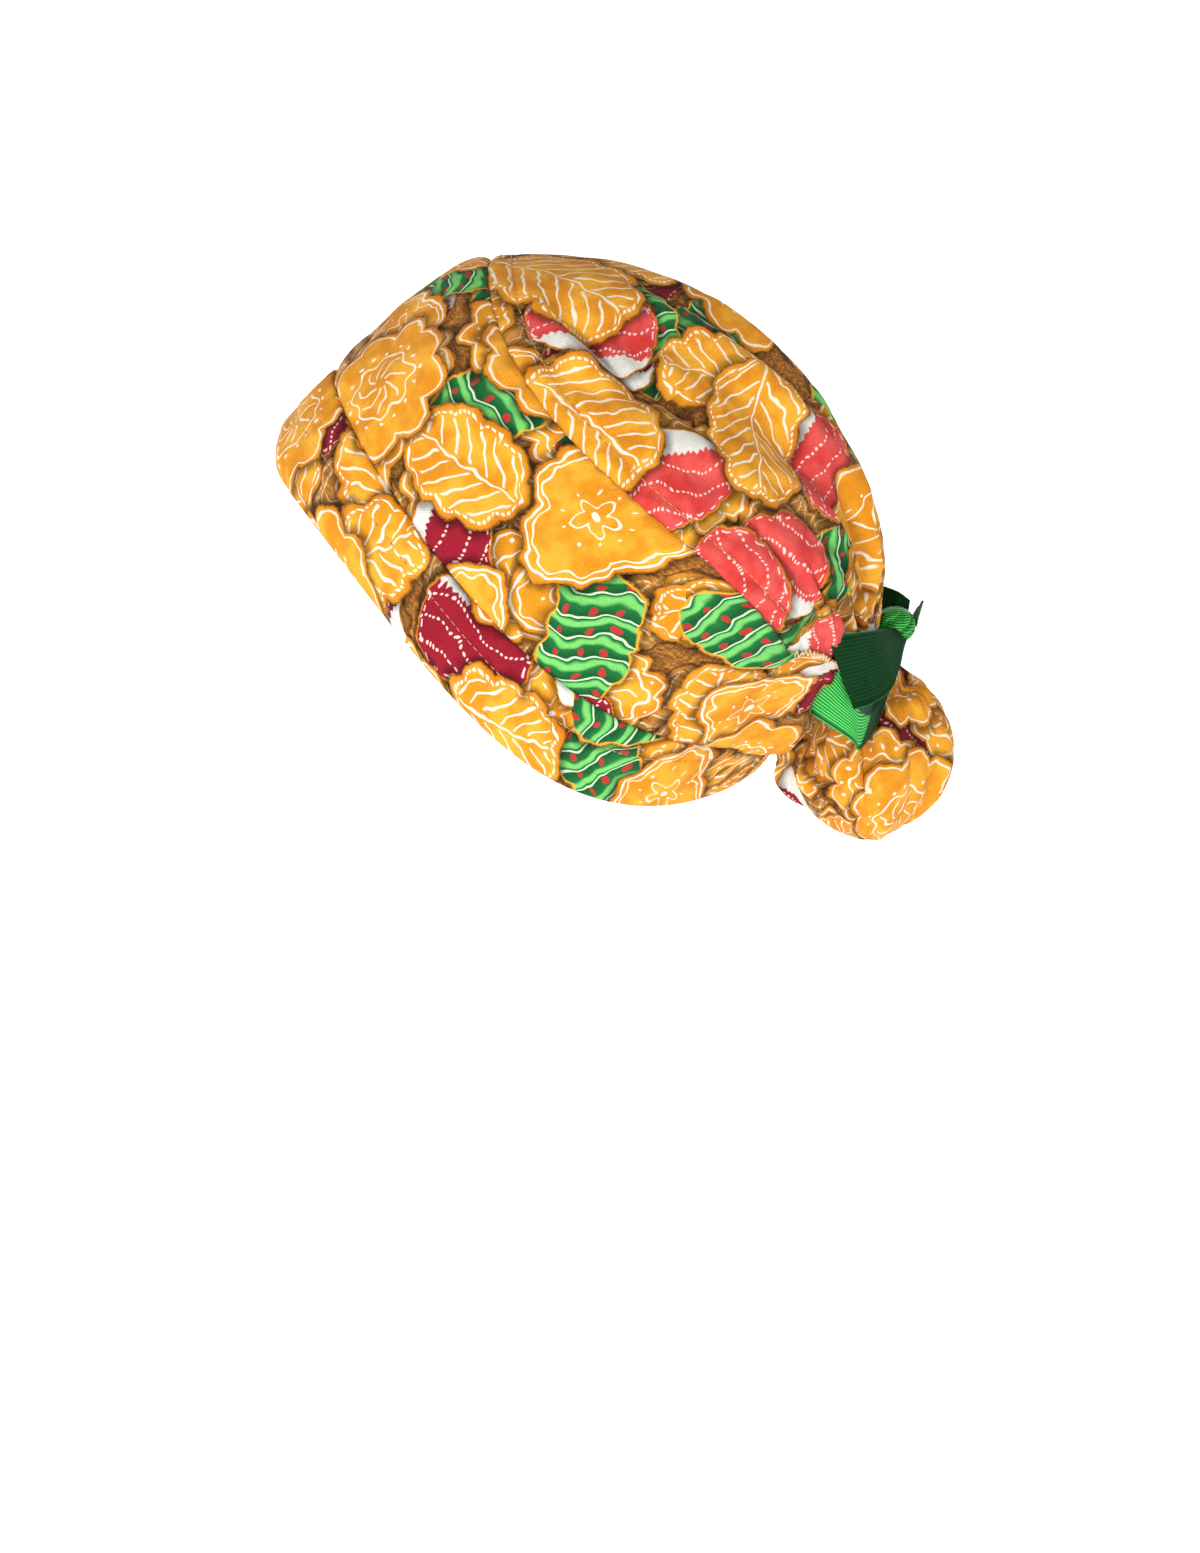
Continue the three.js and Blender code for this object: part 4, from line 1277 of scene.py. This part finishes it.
def satin(name, low, high, rib_highlight, gloss, shade_past_crease=None):
    """Ribbed satin: fine ribs along the ribbon and a plain selvage at each edge, with a painted highlight on
    the ribs' tops.
    Past a slanting crease, and past the fold's turn, a dark green is painted as shade of the half turned away
    from the light:
    the last argument says where the crease starts, how it slants and where the fold turns."""
    material, start, shader = new_material(name, Metallic=0.35 * gloss, Specular_IOR_Level=0.25 * gloss)
    flat = cloth_place(start)
    x, y, _ = flat.parts()
    ribs = (x * (TURN / 1.25)).sine()
    cross = (y * (TURN / 0.45)).sine()
    streak = flat.vec("MULTIPLY", (1.6, 0.06, 1.0)).noise(1.0, 3.0, 0.6, "2D")
    from_middle = abs(x - RIBBON_WIDTH / 2)
    selvage = from_middle.step(10.6, 10.9) * from_middle.step(11.6, 11.2)
    cut = from_middle.step(12.0, 12.3)
    colour = streak.step(0.3, 0.7).colour(low, high)
    # Painted highlight: the ribs' tops take the lighter rib colour.
    colour = ((ribs * 0.5 + 0.5) ** 2).colour(colour, rib_highlight)
    if shade_past_crease:
        start_at, slant, turned_at = shade_past_crease
        # Painted shade: past the crease and past the fold's turn the colour becomes a dark green for the half
        # turned away.
        past = (x + y * slant - start_at).step(-0.7, 0.7).at_least(y.step(turned_at - 0.8, turned_at + 0.8))
        colour = past.colour(colour, streak.step(0.3, 0.7).colour(rgb(3, 40, 15), rgb(6, 58, 24)))
    colour = selvage.colour(colour, rgb(4, 42, 16))
    colour = cut.colour(colour, rgb(44, 120, 60))
    height = ribs * 0.5 + cross * 0.18 - selvage * (cross * 0.5 + 0.9)
    rough = streak.between(0.64 - 0.34 * gloss, 0.8 - 0.36 * gloss)
    return finish_material(material, shader, height, 0.00012, 0.5, Base_Color=colour, Roughness=rough)


def thread(name, colour, other):
    """Twisted sewing thread: slanting ply lines in the object's own coordinates."""
    material, start, shader = new_material(name, Roughness=0.55, Sheen_Weight=0.3)
    coordinates = start.node("ShaderNodeTexCoord", {}, {}, 3)
    x, y, z = coordinates.vec("MULTIPLY", (1000.0, 1000.0, 1000.0)).parts()
    ply = ((x + y * 0.8 + z * 1.3) * 9.0).sine() * 0.5 + 0.5
    return finish_material(material, shader, ply, 0.00008, 0.5, Base_Color=ply.colour(colour, other))


def floor_paper():
    """A plain pale studio floor with hardly visible paper grain; it glows as painted light, dim on the camera's
    side and bright behind the cap.
    """
    material, start, shader = new_material("pale_floor", Roughness=0.9, Specular_IOR_Level=0.1,
                                           Emission_Strength=1.0)
    coordinates = start.node("ShaderNodeTexCoord", {}, {}, 3)
    grain = coordinates.noise(60.0, 0.0, 0.5)
    paper = grain.step(0.2, 0.8).colour(rgb(247, 247, 246), rgb(250, 250, 249))
    # Painted light: the floor and backdrop glow, dimmer on the camera's side and brighter behind the cap, and
    # light the cap like a lamp.
    far_side = coordinates.parts()[0].step(1.5, -0.9)
    glow = far_side.colour((0.22, 0.22, 0.22, 1), (0.74, 0.74, 0.74, 1))
    return finish_material(material, shader, Base_Color=paper, Emission_Color=glow)


# --- Build --------------------------------------------------------------------------------------

cotton = printed_cotton()
# Three copies of the satin: the face and the knot have painted highlights on their ribs, and the face has
# painted shade past its crease. The back copy is darker throughout as painted shade for the tails and the loop
# that turn away. It is also less glossy, as a satin's back really is.
satin_face = satin("green_satin_face", rgb(6, 100, 34), rgb(18, 136, 48), rgb(96, 220, 108), 1.0,
                   shade_past_crease=(22.0, 0.38, 25.0))
shaded_satin_back = satin("green_satin_back_painted_shade", rgb(2, 40, 14), rgb(4, 54, 20), rgb(8, 70, 28), 0.15)
satin_knot = satin("green_satin_knot", rgb(4, 80, 28), rgb(12, 114, 42), rgb(84, 210, 96), 1.0)
gold_thread = thread("gold_thread", rgb(214, 150, 78), rgb(162, 102, 48))
cream_thread = thread("cream_thread", rgb(244, 226, 190), rgb(206, 176, 128))

panels = [hem_band(), side_panel(), crown_panel(), pouch()]
reverse = cotton_reverse()
for piece in panels:
    piece.data.materials.append(cotton)
    piece.data.materials.append(cotton if piece is panels[0] else reverse)
ribbons = [
    ribbon("ribbon_left_satin", "ribbon_left", RIBBON_ROUTE, 1, (0.88, 0.5, 0.9), 0.25, 4),
    ribbon("ribbon_right_satin", "ribbon_right", RIBBON_ROUTE, -1, (0.88, 0.5, 0.9), 0.25, 5),
    ribbon("bow_end_left_satin", "bow_end_left", NEAR_END_ROUTE, 1, None, 0.35, 6),
    ribbon("bow_end_right_satin", "bow_end_right", FAR_END_ROUTE, 1, None, 0.3, 7),
    ribbon("bow_loop_right_satin", "bow_loop_right", FAR_LOOP_ROUTE, 1, None, 0.3, 8),
]
tied = knot()
for piece in ribbons + [tied]:
    # Painted shade: the tails and the loop take the darker back copy.
    piece.data.materials.append(satin_face if piece in ribbons[:2] else shaded_satin_back)
    if "skins" in piece:
        piece.data.materials.append(piece.data.materials[0])
tied.data.materials[0] = satin_knot
all_stitches()
for name, piece in sewn.items():
    piece.data.materials.append(cream_thread if name.startswith("bar_tack") else gold_thread)

# --- Floor, light and camera --------------------------------------------------------------------


FLOOR_UP = -0.27
FLOOR_REACH = 3.2
FLOOR_BEND = 1.2
WALL_TOP = 3.4
FLOOR_SIDES = 96


def floor():
    """A flat pale disc far below the cap that turns up, round a quarter circle, into a backdrop far away."""
    bend = np.linspace(0.1, np.pi / 2, 10)
    radius = np.concatenate([np.linspace(0, FLOOR_REACH, 8), FLOOR_REACH + FLOOR_BEND * np.sin(bend), [4.42]])
    height = np.concatenate([np.zeros(8), FLOOR_BEND * (1 - np.cos(bend)), [WALL_TOP]])
    turn = np.linspace(0, TURN, FLOOR_SIDES + 1)[:-1]
    points = np.stack([radius[1:, None] * np.cos(turn), radius[1:, None] * np.sin(turn),
                       height[1:, None] + FLOOR_UP + 0 * turn], axis=-1) / MM
    index = np.arange(points.shape[0] * FLOOR_SIDES).reshape(-1, FLOOR_SIDES)
    index = np.hstack([index, index[:, :1]])
    faces = quads(index)[:, TURNED]
    middle = np.array([[0, 0, FLOOR_UP / MM]])
    centre = len(points.reshape(-1, 3))
    fan = np.stack([index[0, :-1], index[0, 1:], np.full(FLOOR_SIDES, centre)], axis=-1)
    piece = make_mesh("studio_floor", np.vstack([points.reshape(-1, 3), middle]), faces.tolist() + fan.tolist())
    piece.data.materials.append(floor_paper())
    return piece


floor()

SENSOR = 36
FOCAL_PIXELS = 1175
PHOTO_HEIGHT = 1553
LOOK_DOWN = math.radians(20)

scene = bpy.context.scene
scene.view_settings.view_transform = "Standard"
camera_data = bpy.data.cameras.new("camera")
camera_data.sensor_fit = "VERTICAL"
camera_data.sensor_height = SENSOR
camera_data.lens = FOCAL_PIXELS / PHOTO_HEIGHT * SENSOR
camera = bpy.data.objects.new("camera", camera_data)
camera.location = (0.435, 0.026, 0.095)
look = Vector((-math.cos(LOOK_DOWN), 0, -math.sin(LOOK_DOWN)))
camera.rotation_euler = look.to_track_quat("-Z", "Y").to_euler()
scene.collection.objects.link(camera)
scene.camera = camera

world = bpy.data.worlds.new("studio")
world.use_nodes = True
world.node_tree.nodes["Background"].inputs["Color"].default_value = (1, 1, 1, 1)
world.node_tree.nodes["Background"].inputs["Strength"].default_value = 0.16
scene.world = world


def lamp(name, place, target, power, size):
    """A soft square lamp that looks at the target."""
    data = bpy.data.lights.new(name, "AREA")
    data.energy = power
    data.size = size
    made = bpy.data.objects.new(name, data)
    made.location = place
    made.rotation_euler = (Vector(target) - Vector(place)).to_track_quat("-Z", "Y").to_euler()
    scene.collection.objects.link(made)


lamp("key", (0.74, -0.22, 0.10), (0, 0.03, -0.02), 4.2, 0.16)
lamp("side", (0.45, 0.75, -0.02), (0, 0.08, 0), 0.6, 0.4)
